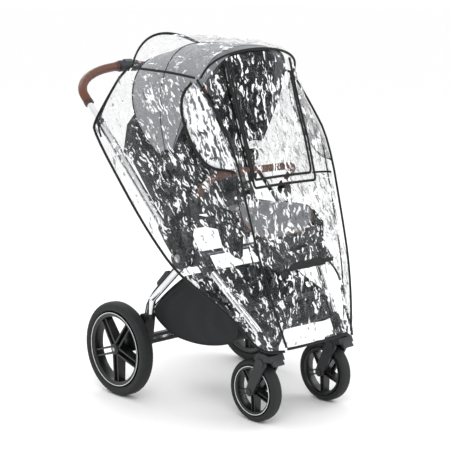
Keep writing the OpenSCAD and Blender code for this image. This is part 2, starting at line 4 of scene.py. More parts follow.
import bmesh
import bpy
import numpy as np
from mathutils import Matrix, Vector


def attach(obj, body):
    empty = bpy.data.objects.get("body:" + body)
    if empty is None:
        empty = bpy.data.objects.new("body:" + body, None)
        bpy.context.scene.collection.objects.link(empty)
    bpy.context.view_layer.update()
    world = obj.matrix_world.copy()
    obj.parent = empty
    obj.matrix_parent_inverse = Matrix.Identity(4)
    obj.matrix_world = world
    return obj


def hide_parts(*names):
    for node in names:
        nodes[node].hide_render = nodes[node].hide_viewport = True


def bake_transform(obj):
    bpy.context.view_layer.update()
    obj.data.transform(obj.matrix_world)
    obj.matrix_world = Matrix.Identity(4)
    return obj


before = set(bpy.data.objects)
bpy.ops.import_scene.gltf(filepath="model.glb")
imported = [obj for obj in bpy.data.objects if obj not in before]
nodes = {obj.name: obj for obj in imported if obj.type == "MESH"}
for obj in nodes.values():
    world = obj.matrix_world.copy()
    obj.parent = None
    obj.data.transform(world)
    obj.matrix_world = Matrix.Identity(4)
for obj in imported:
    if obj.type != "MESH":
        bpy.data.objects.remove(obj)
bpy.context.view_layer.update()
scene = bpy.context.scene

SHIFT = -101.18  # the row frame's Y of the point midway between the axles, in mm
SIDES = {"left": 1, "right": -1}


def mm(points):
    """Millimetres measured from midway between the axles become metres in the row frame."""
    return (np.asarray(points, float) + (0, SHIFT, 0)) / 1000


# ---------------------------------------------------------------- camera, light and floor
def aim_camera():
    """A long lens in front of the child's right, a little above the canopy's height."""
    lens = bpy.data.cameras.new("view")
    lens.lens = 106.65
    lens.sensor_width = 36
    lens.clip_end = 200
    camera = bpy.data.objects.new("view", lens)
    scene.collection.objects.link(camera)
    place, target = mm([-2807.4, -2977.7, 1283.0]), mm([-3.2, 54.6, 535.0])
    camera.location = place
    camera.rotation_euler = Vector(target - place).to_track_quat("-Z", "Y").to_euler()
    scene.camera = camera


def soft_light(name, place, size, power, tint=(1, 1, 1)):
    """A square lamp of that size in metres, turned to the middle of the object."""
    lamp = bpy.data.lights.new(name, "AREA")
    lamp.size = size
    lamp.energy = power
    lamp.color = tint
    ob = bpy.data.objects.new(name, lamp)
    scene.collection.objects.link(ob)
    ob.location = place
    ob.rotation_euler = (Vector((0, 0, 0.5)) - Vector(place)).to_track_quat("-Z", "Y").to_euler()


def add(tree, kind, settings=None, links=None):
    """Adds one shader node. Settings name its properties or sockets, links give (node, output) for a socket."""
    node = tree.nodes.new("ShaderNode" + kind)
    for key, value in (settings or {}).items():
        if isinstance(key, int) or key in node.inputs:
            node.inputs[key].default_value = value
        else:
            setattr(node, key, value)
    wire(tree, node, links or {})
    return node


def wire(tree, node, links):
    """Feeds sockets of a node: each link is socket to (node, output)."""
    for key, (source, output) in links.items():
        tree.links.new(source.outputs[output], node.inputs[key])


def studio():
    """White walls and ceiling, with a darker band low behind the camera for bright metal to mirror."""
    world = bpy.data.worlds.new("studio")
    world.use_nodes = True
    scene.world = world
    tree = world.node_tree
    tree.nodes.clear()
    where = add(tree, "TexCoord")
    axis = add(tree, "Mapping", {"vector_type": "POINT", "Rotation": (0, 0, math.radians(43))},
               {0: (where, "Generated")})
    split = add(tree, "SeparateXYZ", None, {0: (axis, 0)})
    side = add(tree, "MapRange", {1: -0.95, 2: -0.2, 3: 0.4, 4: 1.0}, {0: (split, "Y")})
    height = add(tree, "MapRange", {1: 0.2, 2: 0.7, 3: 0.0, 4: 1.0}, {0: (split, "Z")})
    level = add(tree, "Math", {"operation": "MAXIMUM"}, {0: (side, 0), 1: (height, 0)})
    ground = add(tree, "Background", {"Strength": 1.1}, {"Color": (level, 0)})
    add(tree, "OutputWorld", None, {"Surface": (ground, 0)})


def hex_colour(code):
    """An sRGB hex colour turned to linear light: c / 12.92 when dark, else ((c + 0.055) / 1.055) ** 2.4."""
    c = np.array([int(code[k:k + 2], 16) for k in (0, 2, 4)]) / 255
    return tuple(np.where(c <= 0.04045, c / 12.92, ((c + 0.055) / 1.055) ** 2.4)) + (1.0,)


def blank(name, **sockets):
    """A material with an empty tree but for its shader, output and coordinates. Sockets are set on the shader."""
    look = bpy.data.materials.new(name)
    look.use_nodes = True
    tree = look.node_tree
    tree.nodes.clear()
    skin = add(tree, "BsdfPrincipled", {key.replace("_", " "): value for key, value in sockets.items()})
    add(tree, "OutputMaterial", None, {"Surface": (skin, 0)})
    return look, tree, skin, add(tree, "TexCoord")


def noise(tree, where, scale, detail, output="Object", roughness=0.5):
    """Cloudy noise of that scale on one kind of coordinates."""
    settings = {"Scale": scale, "Detail": detail, "Roughness": roughness}
    return add(tree, "TexNoise", settings, {"Vector": (where, output)})


def two_tone(tree, factor, dark, light):
    """A colour between two hex colours."""
    return add(tree, "Mix", {"data_type": "RGBA", 6: hex_colour(dark), 7: hex_colour(light)}, {0: factor})


def raised(tree, height, strength, distance):
    """A bump of that strength, over that distance in metres."""
    return add(tree, "Bump", {"Strength": strength, "Distance": distance}, {"Height": (height, 0)})


def stepped(tree, source, low, high, first, last):
    """A straight step: low becomes first and high becomes last, and neither is passed."""
    return add(tree, "MapRange", {1: low, 2: high, 3: first, 4: last}, {0: source})


# ---------------------------------------------------------------- materials
def chromed_steel():
    """Bright nickel and chrome plate on drawn tube: a mirror with faint draw lines along it."""
    look, tree, skin, where = blank("chrome_plated_steel_tube", Metallic=1)
    lines, cloud = noise(tree, where, 160, 3), noise(tree, where, 14, 2)
    wire(tree, skin, {"Base Color": (two_tone(tree, (cloud, 0), "D6D8DA", "F0F1F2"), 2),
                      "Roughness": (stepped(tree, (lines, 0), 0.3, 0.7, 0.05, 0.14), 0),
                      "Normal": (raised(tree, lines, 0.05, 0.0004), 0)})
    return look


def moulded_nylon(name, dark, light, rough, grain=0.9, depth=0.00012):
    """Glass filled nylon from a spark eroded mould: a fine even grain and slightly uneven gloss. Grain in mm."""
    look, tree, skin, where = blank(name)
    pits, cloud = noise(tree, where, 1000 / grain, 2), noise(tree, where, 22, 4)
    wire(tree, skin, {"Base Color": (two_tone(tree, (cloud, 0), dark, light), 2),
                      "Roughness": (stepped(tree, (cloud, 0), 0.3, 0.7, rough - 0.07, rough + 0.08), 0),
                      "Normal": (raised(tree, pits, 0.35, depth), 0)})
    return look


def turned_steel():
    """Zinc plated turned steel: grey, half matt."""
    look, tree, skin, where = blank("zinc_plated_turned_steel", Metallic=1, Roughness=0.3)
    wire(tree, skin, {"Base Color": (two_tone(tree, (noise(tree, where, 240, 3), 0), "8E9195", "B4B7BA"), 2)})
    return look


def foamed_rubber():
    """EVA foam tyre: a dry dark grey skin, dusty where it rolls."""
    look, tree, skin, where = blank("moulded_eva_foam_tyre", Roughness=0.72)
    cells, dust = noise(tree, where, 700, 3), noise(tree, where, 26, 5, roughness=0.65)
    wire(tree, skin, {"Base Color": (two_tone(tree, (dust, 0), "08090A", "1A1C1E"), 2),
                      "Normal": (raised(tree, cells, 0.4, 0.0002), 0)})
    return look


def tanned_leather(name, dark, light):
    """Corrected grain leather, wrapped and stitched: pores under a thin finish, darker where it is handled."""
    look, tree, skin, where = blank(name)
    pores = add(tree, "TexVoronoi", {"feature": "DISTANCE_TO_EDGE", "Scale": 420}, {"Vector": (where, "Object")})
    hide = noise(tree, where, 34, 5, roughness=0.6)
    wire(tree, skin, {"Base Color": (two_tone(tree, (hide, 0), dark, light), 2),
                      "Roughness": (stepped(tree, (hide, 0), 0.3, 0.7, 0.4, 0.58), 0),
                      "Normal": (raised(tree, pores, 0.5, 0.0003), 0)})
    return look


def woven(name, dark, light, thread, speckle=0.5, sheen=0.2):
    """Plain weave polyester on the cloth map: warp and weft of that spacing in mm, with threads of two tones."""
    look, tree, skin, where = blank(name, Roughness=0.9, Sheen_Weight=sheen)
    turns = [add(tree, "Mapping", {"Scale": scale + (1,)}, {0: (where, "UV")})
             for scale in ((1000 / thread, 90 / thread), (90 / thread, 1000 / thread))]
    weft, warp = (noise(tree, turn, 1, 1, 0) for turn in turns)
    both = add(tree, "Math", {"operation": "ADD"}, {0: (weft, 0), 1: (warp, 0)})
    spread = stepped(tree, (both, 0), 1 - 0.35 * speckle, 1 + 0.35 * speckle, 0, 1)
    factor = add(tree, "Mix", {"data_type": "FLOAT", 0: 0.3}, {2: (spread, 0), 3: (noise(tree, where, 9, 4), 0)})
    wire(tree, skin, {"Base Color": (two_tone(tree, (factor, 0), dark, light), 2),
                      "Normal": (raised(tree, both, 0.6, 0.0003), 0)})
    return look


def clear_film(name, white=0.35, veil=0.1, tilt=25, seed=0.0, wide=7, streak=0.35, dark=0.06):
    """Calendered soft PVC, crumpled in its bag: small sharp facets, with reflections painted on them.

    Facets are cells that many mm wide and a few times longer, leaning by the tilt in degrees. About
    the white share of them carry a painted white reflection of the room, in drifts; the dark share and
    thin creases carry a painted dark reflection. The rest is nearly clear. Facets are drawn twice as coarse as real
    ones so that they show.
    """
    longer, warp_by, drift_share, small_share = 5.0, 0.045, 1.6, 0.25
    look, tree, skin, where = blank(name, Roughness=0.12, IOR=1.53)
    look.surface_render_method = "BLENDED"
    warp = noise(tree, where, 13, 3, roughness=0.6)
    push = add(tree, "VectorMath", {"operation": "MULTIPLY_ADD", 1: (warp_by,) * 3},
               {0: (warp, "Color"), 2: (where, "Object")})
    lean = add(tree, "Mapping", {"vector_type": "TEXTURE", "Location": (seed, seed * 0.7, 0),
                                 "Rotation": (math.radians(tilt), 0, 0), "Scale": (1, 1, longer)}, {0: (push, 0)})
    cells = add(tree, "TexVoronoi", {"Scale": 1000 / wide, "Randomness": 1.0}, {"Vector": (lean, 0)})
    small = add(tree, "TexVoronoi", {"Scale": 1900 / wide}, {"Vector": (lean, 0)})
    drift = noise(tree, push, 17, 4, 0, 0.6)
    pick = add(tree, "SeparateColor", None, {0: (cells, "Color")})
    pick_small = add(tree, "SeparateColor", None, {0: (small, "Color")})
    both = add(tree, "Math", {"operation": "MULTIPLY_ADD", 1: small_share}, {0: (pick_small, 0), 2: (pick, 0)})
    high = add(tree, "Math", {"operation": "MULTIPLY_ADD", 1: drift_share}, {0: (drift, 0), 2: (both, 0)})
    # Painted highlight: the white share of facets turns near white and nearly opaque, a painted reflection of the room.
    edge = 1.89 - white
    painted_highlight_mask = stepped(tree, (high, 0), edge, edge + 0.08, 0, 1)
    # Painted dark reflection along thin crease lines.
    line = add(tree, "Math", {"operation": "SUBTRACT", 1: 0.5}, {0: (noise(tree, lean, 420 / wide, 1, 0), 0)})
    near = add(tree, "Math", {"operation": "ABSOLUTE"}, {0: (line, 0)})
    thin = stepped(tree, (near, 0), 0.004, 0.02, streak, 0)
    soft = stepped(tree, (drift, 0), 0.4, 0.62, veil * 0.4, veil * 1.7)
    # Painted dark reflection: the dark share of facets turns near black and mostly opaque.
    painted_dark_reflection = stepped(tree, (pick, 1), 1 - dark, 1.02 - dark, 0, 0.7)
    painted_highlight_alpha = add(tree, "Math", {"operation": "MULTIPLY", 1: 0.9}, {0: (painted_highlight_mask, 0)})
    alpha = painted_highlight_alpha
    for other in (thin, soft, painted_dark_reflection):
        alpha = add(tree, "Math", {"operation": "MAXIMUM"}, {0: (alpha, 0), 1: (other, 0)})
    shade = two_tone(tree, (painted_dark_reflection, 0), "8A8E92", "0C0D0F")
    tone = add(tree, "Mix", {"data_type": "RGBA", 7: hex_colour("FAFBFC")}, {0: (painted_highlight_mask, 0), 6: (shade, 2)})
    wire(tree, skin, {"Alpha": (alpha, 0), "Base Color": (tone, 2), "Normal": (raised(tree, both, 0.5, 0.002), 0)})
    return look


CHROME = chromed_steel()
BLACK = moulded_nylon("moulded_black_nylon", "090A0B", "161719", 0.5)
GREY = moulded_nylon("moulded_graphite_nylon", "151618", "232528", 0.52, grain=1.1)
GLOSS = moulded_nylon("gloss_moulded_nylon_rim", "0D0E0F", "191A1C", 0.3, depth=0.00005)
RED = moulded_nylon("moulded_red_button", "6E1C18", "8A2A24", 0.35)
BUTTON = moulded_nylon("moulded_grey_button", "46484B", "55575A", 0.42)
STEEL = turned_steel()
RUBBER = foamed_rubber()
STRIPE = moulded_nylon("silver_paint_line", "C9CACC", "E4E5E6", 0.35, depth=0.00003)
LEATHER = tanned_leather("brown_corrected_leather", "43210F", "703B1E")
TRIM = tanned_leather("dark_brown_leather_trim", "371A10", "4C2517")
CANOPY = woven("melange_canopy_polyester", "74777B", "A6A8AB", 1.6, speckle=0.9)
VISOR = woven("melange_visor_polyester", "5E6165", "8A8D91", 1.6, speckle=0.9)
LINER = woven("melange_seat_polyester", "5F6266", "8F9296", 1.8, speckle=0.9)
CLOTH = woven("black_seat_polyester", "08090A", "191A1C", 1.6, sheen=0.05)
BASKET = woven("charcoal_basket_polyester", "0D0E10", "1C1E21", 2.0, speckle=0.7, sheen=0.05)
WEBBING = woven("black_polyester_webbing", "08090A", "17181A", 1.2, sheen=0.05)
TAPE = woven("black_bias_binding", "060707", "131415", 1.2, sheen=0.05)
# The clear films carry painted reflection: white facets as painted highlight, dark facets and crease lines as painted
# dark reflection.
FILM = clear_film("clear_crumpled_pvc", white=0.18, tilt=-18, dark=0.1)
FILM_SIDE = clear_film("clear_crumpled_pvc_side", white=0.13, tilt=-38, seed=3.0, wide=6)
FILM_WINDOW = clear_film("clear_pvc_window", white=0.2, veil=0.06, tilt=-20, seed=7.0, dark=0.02)
FILM_DOOR = clear_film("clear_pvc_side_window", white=0.6, veil=0.5, tilt=-30, seed=9.0, dark=0.08)
FILM_ROOF = clear_film("clear_pvc_roof", white=0.04, veil=0.1, tilt=80, seed=5.0, streak=0.2, dark=0.0)


# ---------------------------------------------------------------- meshes
def grid_faces(rows, cols, round_rows=False, round_cols=False):
    """Four-sided faces of a grid, numbered row by row, closed on itself where asked."""
    i = np.arange(rows if round_rows else rows - 1)[:, None]
    j = np.arange(cols if round_cols else cols - 1)[None]
    down, right = (i + 1) % rows, (j + 1) % cols
    return np.stack(np.broadcast_arrays(i * cols + j, i * cols + right, down * cols + right, down * cols + j),
                    -1).reshape(-1, 4)


def cloth_map(mesh, uv):
    """A place on the cloth, in metres, for each point of a mesh."""
    corner = np.empty(len(mesh.loops), int)
    mesh.loops.foreach_get("vertex_index", corner)
    mesh.uv_layers.new(name="cloth").data.foreach_set("uv", np.asarray(uv, float).reshape(-1, 2)[corner].ravel())


def read(mesh, what):
    """The points of a mesh, or their normals, as an array."""
    values = np.empty(len(mesh.vertices) * 3)
    mesh.vertices.foreach_get(what, values)
    return values.reshape(-1, 3)


def piece(name, points, faces, look, body, uv=None, weld=False, facing=None, angle=40):
    """One object in place. Weld merges doubles and turns every face outward; facing turns a sheet to a direction."""
    mesh = bpy.data.meshes.new(name)
    flat = np.asarray(points, float).reshape(-1, 3)
    mesh.from_pydata(flat.tolist(), [], [list(f) for f in faces])
    if uv is not None:
        cloth_map(mesh, uv)
    if weld or facing is not None:
        bm = bmesh.new()
        bm.from_mesh(mesh)
        if weld:
            bmesh.ops.remove_doubles(bm, verts=bm.verts, dist=2e-6)
            bmesh.ops.recalc_face_normals(bm, faces=bm.faces)
        elif sum((f.normal * f.calc_area()).dot(Vector(facing)) for f in bm.faces) < 0:
            bmesh.ops.reverse_faces(bm, faces=bm.faces)
        bm.to_mesh(mesh)
        bm.free()
    mesh.polygons.foreach_set("use_smooth", [True] * len(mesh.polygons))
    mesh.set_sharp_from_angle(angle=math.radians(angle))
    mesh.materials.append(look)
    ob = bpy.data.objects.new(name, mesh)
    scene.collection.objects.link(ob)
    if body:
        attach(ob, body)
    return ob


def stands_for(ob, slot, *cad):
    """The piece takes the place of those CAD nodes, which are hidden. The slot is not used."""
    if cad:
        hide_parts(*cad)
    return ob


def rounded_edges(ob, width, segments=3):
    """A bevel of that width in mm on the hard edges."""
    bevel = ob.modifiers.new("edges", "BEVEL")
    bevel.width = width / 1000
    bevel.segments = segments
    bevel.limit_method = "ANGLE"
    bevel.angle_limit = math.radians(30)
    return ob


def spaced(points, count):
    """The same line with points at equal steps of length."""
    p = np.asarray(points, float)
    run = np.r_[0, np.cumsum(np.linalg.norm(np.diff(p, axis=0), axis=1))]
    at = np.linspace(0, run[-1], count)
    return np.stack([np.interp(at, run, p[:, k]) for k in range(3)], 1)


def eased(points, count, times=2):
    """Each corner is cut at a quarter of its sides, that many times, then the line is spaced evenly."""
    p = np.asarray(points, float)
    for _ in range(times):
        near, far = 0.75 * p[:-1] + 0.25 * p[1:], 0.25 * p[:-1] + 0.75 * p[1:]
        p = np.concatenate([p[:1], np.stack([near, far], 1).reshape(-1, 3), p[-1:]])
    return spaced(p, count)


def frames(path):
    """Along a line: the direction, and two directions square to it that turn as little as they can."""
    t = np.gradient(path, axis=0)
    t /= np.linalg.norm(t, axis=1)[:, None]
    n = np.empty_like(t)
    start = np.array([0.0, 0, 1]) if abs(t[0, 2]) < 0.8 else np.array([1.0, 0, 0])
    for k, direction in enumerate(t):
        start = start - (start @ direction) * direction
        start /= np.linalg.norm(start)
        n[k] = start
    return t, n, np.cross(t, n)


def tube_points(path, radius, sides=20, flat=1.0):
    """Rings round a line: centre + r (cos a n + flat sin a b), ending in a point at each end."""
    path = np.asarray(path, float)
    t, n, b = frames(path)
    r = np.broadcast_to(np.asarray(radius, float), len(path))[:, None, None]
    a = np.linspace(0, 2 * np.pi, sides, endpoint=False)[None, :, None]
    ring = path[:, None] + r * (np.cos(a) * n[:, None] + flat * np.sin(a) * b[:, None])
    ends = [np.repeat(path[k][None, None], sides, 1) for k in (0, -1)]
    return np.concatenate([ends[0], ring, ends[1]])


def tube(name, path, radius, look, body, sides=20, flat=1.0):
    """A closed round bar along a line given in mm."""
    rings = tube_points(path, radius, sides, flat)
    uv = np.stack(np.meshgrid(np.arange(len(rings)) * 0.004, np.linspace(0, 0.06, sides), indexing="ij"), -1)
    return piece(name, mm(rings), grid_faces(*rings.shape[:2], round_cols=True), look, body, uv=uv, weld=True)


def bars(lines, radius, sides, flat=1.0):
    """Closed bars along several lines, as parts of one piece."""
    return [(tube_points(line, radius, sides, flat), grid_faces(len(line) + 2, sides, round_cols=True))
            for line in lines]


def joined(name, parts, look, body, uv=None, **more):
    """Several grids as one piece; each part is its points in mm and its faces."""
    points, faces, start = [], [], 0
    for p, f in parts:
        points.append(np.asarray(p, float).reshape(-1, 3))
        faces.append(np.asarray(f) + start)
        start += len(points[-1])
    return piece(name, mm(np.concatenate(points)), np.concatenate(faces), look, body, uv=uv, weld=True, **more)


def revolved(profile, x, y, z, steps=144):
    """A closed profile of [sideways, radius] turned about an axis along X."""
    a = np.linspace(0, 2 * np.pi, steps, endpoint=False)[:, None]
    p = np.asarray(profile, float)[None]
    points = np.stack([x + p[..., 0] + 0 * a, y + p[..., 1] * np.cos(a), z + p[..., 1] * np.sin(a)], -1)
    return points, grid_faces(steps, p.shape[1], True, True)


def slab(outline, x0, x1):
    """An outline of [y, z] made thick from x0 to x1, with its ends closed by fans."""
    o = np.asarray(outline, float)
    n = len(o)
    rings = np.stack([np.column_stack([np.full(n, x), o]) for x in (x0, x1)])
    middle = np.array([[x, *o.mean(0)] for x in (x0, x1)])
    j = np.arange(n)
    fans = np.concatenate([np.stack([j + k * n, (j + 1) % n + k * n, np.full(n, 2 * n + k),
                                     np.full(n, 2 * n + k)], 1) for k in (0, 1)])
    return np.concatenate([rings.reshape(-1, 3), middle]), grid_faces(2, n, False, True), fans[:, :3]


def slabs(name, list_of, look, body, bevel=1.0):
    """Several slabs as one piece with rounded edges. Each is (outline, x0, x1)."""
    points, faces, start = [], [], 0
    for outline, x0, x1 in list_of:
        p, quads, fans = slab(outline, x0, x1)
        points.append(p)
        faces += [list(f + start) for f in quads] + [list(f + start) for f in fans]
        start += len(p)
    ob = piece(name, mm(np.concatenate(points)), faces, look, body, weld=True, angle=30)
    return rounded_edges(ob, bevel)


def link(a, b, ra, rb, n=20):
    """A link's outline: two round ends of radius ra and rb with straight tangents between them."""
    a, b = np.asarray(a, float), np.asarray(b, float)
    d = b - a
    base, turn = math.atan2(d[1], d[0]), math.acos((ra - rb) / np.hypot(*d))
    ends = []
    for centre, r, start, stop in ((a, ra, base + turn, base + 2 * np.pi - turn), (b, rb, base - turn, base + turn)):
        t = np.linspace(start, stop, n)
        ends.append(centre + r * np.stack([np.cos(t), np.sin(t)], 1))
    return np.concatenate(ends)


def along_x(points, angle, origin):
    """Points turned by an angle in degrees about an axis along X through a [y, z] origin."""
    p = np.asarray(points, float)
    c, s = math.cos(math.radians(angle)), math.sin(math.radians(angle))
    turned = [p[..., 0], origin[0] + p[..., 1] * c - p[..., 2] * s, origin[1] + p[..., 1] * s + p[..., 2] * c]
    return np.stack(turned, -1)


def grid_normals(p):
    """Unit normals of a grid: the cross product of its steps both ways."""
    n = np.cross(np.gradient(p, axis=0), np.gradient(p, axis=1))
    return n / np.maximum(np.linalg.norm(n, axis=-1, keepdims=True), 1e-9)


def lengths(p):
    """Distances run along both ways of a grid, in metres, as a cloth map."""
    down = np.linalg.norm(np.diff(p, axis=0), axis=-1)
    right = np.linalg.norm(np.diff(p, axis=1), axis=-1)
    u = np.concatenate([np.zeros((1, p.shape[1])), np.cumsum(down, 0)])
    v = np.concatenate([np.zeros((p.shape[0], 1)), np.cumsum(right, 1)], 1)
    return np.stack([u, v], -1) / 1000


def creases(u, v, seed, longest=0.14, shortest=0.02, count=14, lean=0.5):
    """Sharp folds: a sum of triangle waves of shrinking length in leaning directions, each in drifts. In mm."""
    rng = np.random.default_rng(seed)
    total = np.zeros_like(u)
    for k in range(count):
        wave = longest * (shortest / longest) ** (k / max(count - 1, 1))
        angle = rng.normal(0, lean)
        bend = 0.4 * wave * np.sin(2 * np.pi * (u * 0.5 - v * 0.3) / (wave * 2.7) + rng.uniform(0, 6))
        s = (v * math.cos(angle) + u * math.sin(angle) + bend) / wave + rng.uniform()
        fold = 2 * np.abs(2 * (s - np.floor(s + 0.5))) - 1
        drift = np.sin(2 * np.pi * (u / (wave * 4.1) + rng.uniform()))
        drift = drift * np.sin(2 * np.pi * (v / (wave * 3.3) + rng.uniform()))
        total += 55 * wave * fold * (0.5 + 0.5 * drift)
    return total


def cloth_sheet(name, p, look, body, slot, cad=(), thick=1.2, facing=None, offset=0.0):
    """A sheet through a grid of points in mm, given a thickness, with a cloth map in metres."""
    ob = piece(name, mm(p), grid_faces(*p.shape[:2]), look, body, uv=lengths(p), facing=facing, angle=70)
    if thick:
        wall = ob.modifiers.new("thickness", "SOLIDIFY")
        wall.thickness = thick / 1000
        wall.offset = offset
    stands_for(ob, slot, *cad)
    return ob


# ---------------------------------------------------------------- wheels
RIM_SHARE = 0.787


def tyre_profile(r, w, steps=44):
    """A squared oval between the rim and the ground: sideways and out by powers of cosine and sine."""
    a = np.linspace(0, 2 * np.pi, steps, endpoint=False)
    middle, half = r * (1 + RIM_SHARE) / 2, r * (1 - RIM_SHARE) / 2
    side = w / 2 * np.sign(np.cos(a)) * np.abs(np.cos(a)) ** 0.75
    out = middle + half * np.sign(np.sin(a)) * np.abs(np.sin(a)) ** 0.8
    return np.stack([side, out], 1), a


def wheel(where, side, r, w, y, track, body):
    """Tyre with a fine shoulder tread, spoked rim, hub cap and a painted line on the outer face, left off the front
    left rim.
    """
    s, tag = SIDES[side], f"{where}_{side}"
    x = s * track / 2
    profile, around = tyre_profile(r, w)
    points, faces = revolved(profile, x, y, r, steps=288)
    turn = np.linspace(0, 2 * np.pi, 288, endpoint=False)[:, None]
    shoulder = np.exp(-((np.sin(around) - 0.72) / 0.22) ** 2) * (np.sin(around) > 0)
    crown = np.exp(-((np.sin(around) - 1) / 0.03) ** 2)
    cut = 0.75 * shoulder * (np.sin(72 * turn + 3 * np.cos(around)) > 0.35)
    cut = cut + 0.5 * crown * (np.abs(np.cos(around)) > 0.12)
    ring = 0.5 * np.exp(-((np.sin(around) + 0.15) / 0.1) ** 2) * np.ones_like(turn)
    arm = points - np.stack([points[..., 0], np.full_like(points[..., 1], y), np.full_like(points[..., 2], r)], -1)
    arm /= np.linalg.norm(arm, axis=-1, keepdims=True)
    points = points - arm * cut[..., None]
    points[..., 0] -= np.sign(points[..., 0] - x) * ring
    stands_for(joined(f"tyre_{tag}", [(points, faces)], RUBBER, body, angle=55), "tyre_foam", f"{where}_tyre_{side}")
    edge = r * RIM_SHARE - 0.15
    barrel = [[-0.46, 1.0], [-0.46, 0.955], [-0.40, 0.93], [-0.36, 0.885], [-0.2, 0.87], [0.2, 0.87], [0.36, 0.885],
              [0.40, 0.93], [0.46, 0.955], [0.46, 1.0]]
    parts = [revolved([[w * a, edge * b] for a, b in barrel], x, y, r, steps=144)]
    hub = [[-0.44, 0.05], [-0.44, 0.1], [-0.40, 0.115], [-0.2, 0.13], [0.2, 0.13], [0.40, 0.115], [0.44, 0.1],
           [0.46, 0.05]]
    hub[0][1] = hub[-1][1] = (6.3 / r)
    parts.append(revolved([[w * a, r * b] for a, b in hub], x, y, r, steps=72))
    rim = joined(f"rim_{tag}", parts, GLOSS, body, angle=35)
    stands_for(rim, "rim_plastic", f"{where}_rim_{side}")
    spokes(f"spokes_{tag}", x, y, r, w, edge, body)
    cap = [[0, 0.004], [0.0, 0.085], [0.05, 0.09], [0.09, 0.078], [0.1, 0.05], [0.105, 0.004]]
    face = revolved([[s * w * (0.44 + a * 0.25), r * b] for a, b in cap], x, y, r, steps=48)
    stands_for(joined(f"hub_cap_{tag}", [face], BLACK, body, angle=30), "rim_plastic")
    a = np.linspace(0, 2 * np.pi, 8, endpoint=False)
    line = 0.75 * np.stack([np.cos(a), 1.6 * np.sin(a)], 1)
    if (where, side) != ("front", "left"):
        stripe = revolved(line + [s * (w * 0.46 + 0.3), edge - 1.6], x, y, r, steps=144)
        stands_for(joined(f"painted_line_{tag}", [stripe], STRIPE, body), "rim_plastic")


def spokes(name, x, y, r, w, edge, body):
    """Five pairs of thin deep bars from hub to rim, one pair straight down, deeper at the hub."""
    turn = np.radians(-90 + 72 * np.repeat(np.arange(5), 2))[:, None]
    apart = np.tile([-1, 1], 5)[:, None] * r * 0.066
    reach = np.array([0.1 * r, 0.1 * r, edge * 0.9, edge * 0.9] * 2)[None]
    thick = np.array([-1, 1, -1, 1] * 2)[None] * r * np.array([0.024, 0.024, 0.017, 0.017] * 2)[None]
    deep = np.array([-1] * 4 + [1] * 4)[None] * w * np.array([0.36, 0.36, 0.3, 0.3] * 2)[None]
    across = apart + thick
    points = np.stack([x + deep + 0 * turn, y + reach * np.cos(turn) - across * np.sin(turn),
                       r + reach * np.sin(turn) + across * np.cos(turn)], -1)
    box = np.array([[0, 1, 3, 2], [4, 6, 7, 5], [0, 4, 5, 1], [2, 3, 7, 6], [0, 2, 6, 4], [1, 5, 7, 3]])
    faces = (box[None] + 8 * np.arange(10)[:, None, None]).reshape(-1, 4)
    ob = piece(name, mm(points), faces, GLOSS, body, weld=True, angle=30)
    stands_for(rounded_edges(ob, r * 0.008), "rim_plastic")


for side in SIDES:
    wheel("rear", side, r=150, w=46, y=240, track=574, body=f"rear_wheel_{side}")
    wheel("front", side, r=95, w=40, y=-240, track=300, body=f"front_wheel_{side}")


def caster(side):
    """Fork with tapering legs, a round boss on each, and a low crown with an angular nose."""
    s = SIDES[side]
    x = s * 150
    legs = [(link([-288, 190], [-242, 95], 20, 14.5), x + k, x + k + 9 * np.sign(k)) for k in (-23, 23)]
    bosses = [(link([-288, 190], [-287.9, 190], 15, 15), x + k, x + k + 2.5 * np.sign(k)) for k in (-32, 32)]
    ends = [(link([-241, 95], [-240.9, 95], 10, 10), x + k, x + k + 3 * np.sign(k)) for k in (-32, 32)]
    crown = [[-330, 200], [-322, 217], [-306, 222], [-280, 221.5], [-266, 212], [-262, 198], [-290, 196]]
    nose = [[-340, 190], [-331, 203], [-318, 214], [-300, 216], [-298, 199], [-322, 196], [-334, 186]]
    ob = slabs(f"fork_{side}", legs + bosses + ends + [(crown, x - 31, x + 31), (nose, x - 21, x + 21)], GREY,
               f"caster_{side}", bevel=2.2)
    stem = revolved([[0, 0.1], [0, 8], [30, 8], [30, 0.1]], 0, 0, 0, steps=32)
    turned = np.stack([x + stem[0][..., 1], -302 + stem[0][..., 2], 221 + stem[0][..., 0]], -1)
    stands_for(ob, "fork_plastic", f"caster_fork_{side}")
    stands_for(joined(f"fork_stem_{side}", [(turned, stem[1])], STEEL, f"caster_{side}"), "steel_pins")


for side in SIDES:
    caster(side)

# ---------------------------------------------------------------- handle
HANDLE_A = math.radians(44.3)
HANDLE_X = 257
FOLD_JOINT = (-30, 478)


def handle_at(s, x=HANDLE_X):
    """A point on the handle tube, s mm from the fold joint."""
    return np.array([x, FOLD_JOINT[0] + s * math.cos(HANDLE_A), FOLD_JOINT[1] + s * math.sin(HANDLE_A)])


def bezier(a, b, c, d, count):
    """A cubic curve through a and d pulled towards b and c."""
    t = np.linspace(0, 1, count)[:, None]
    return (1 - t) ** 3 * a + 3 * (1 - t) ** 2 * t * b + 3 * (1 - t) * t * t * c + t ** 3 * d


BAR_CENTRE = np.array([0, 541.0, 1013.0])
bend = bezier(handle_at(650), handle_at(712), BAR_CENTRE + (147, 0, 0), BAR_CENTRE, 60)
fine_bend = spaced(bend, 400)
half_bar = np.concatenate([[handle_at(380), handle_at(500), handle_at(620)], bend])
MIRROR = np.array([-1, 1, 1])


def both_ways(half):
    """A line to the middle, and back on the other side."""
    return np.concatenate([half, (half * MIRROR)[-2::-1]])


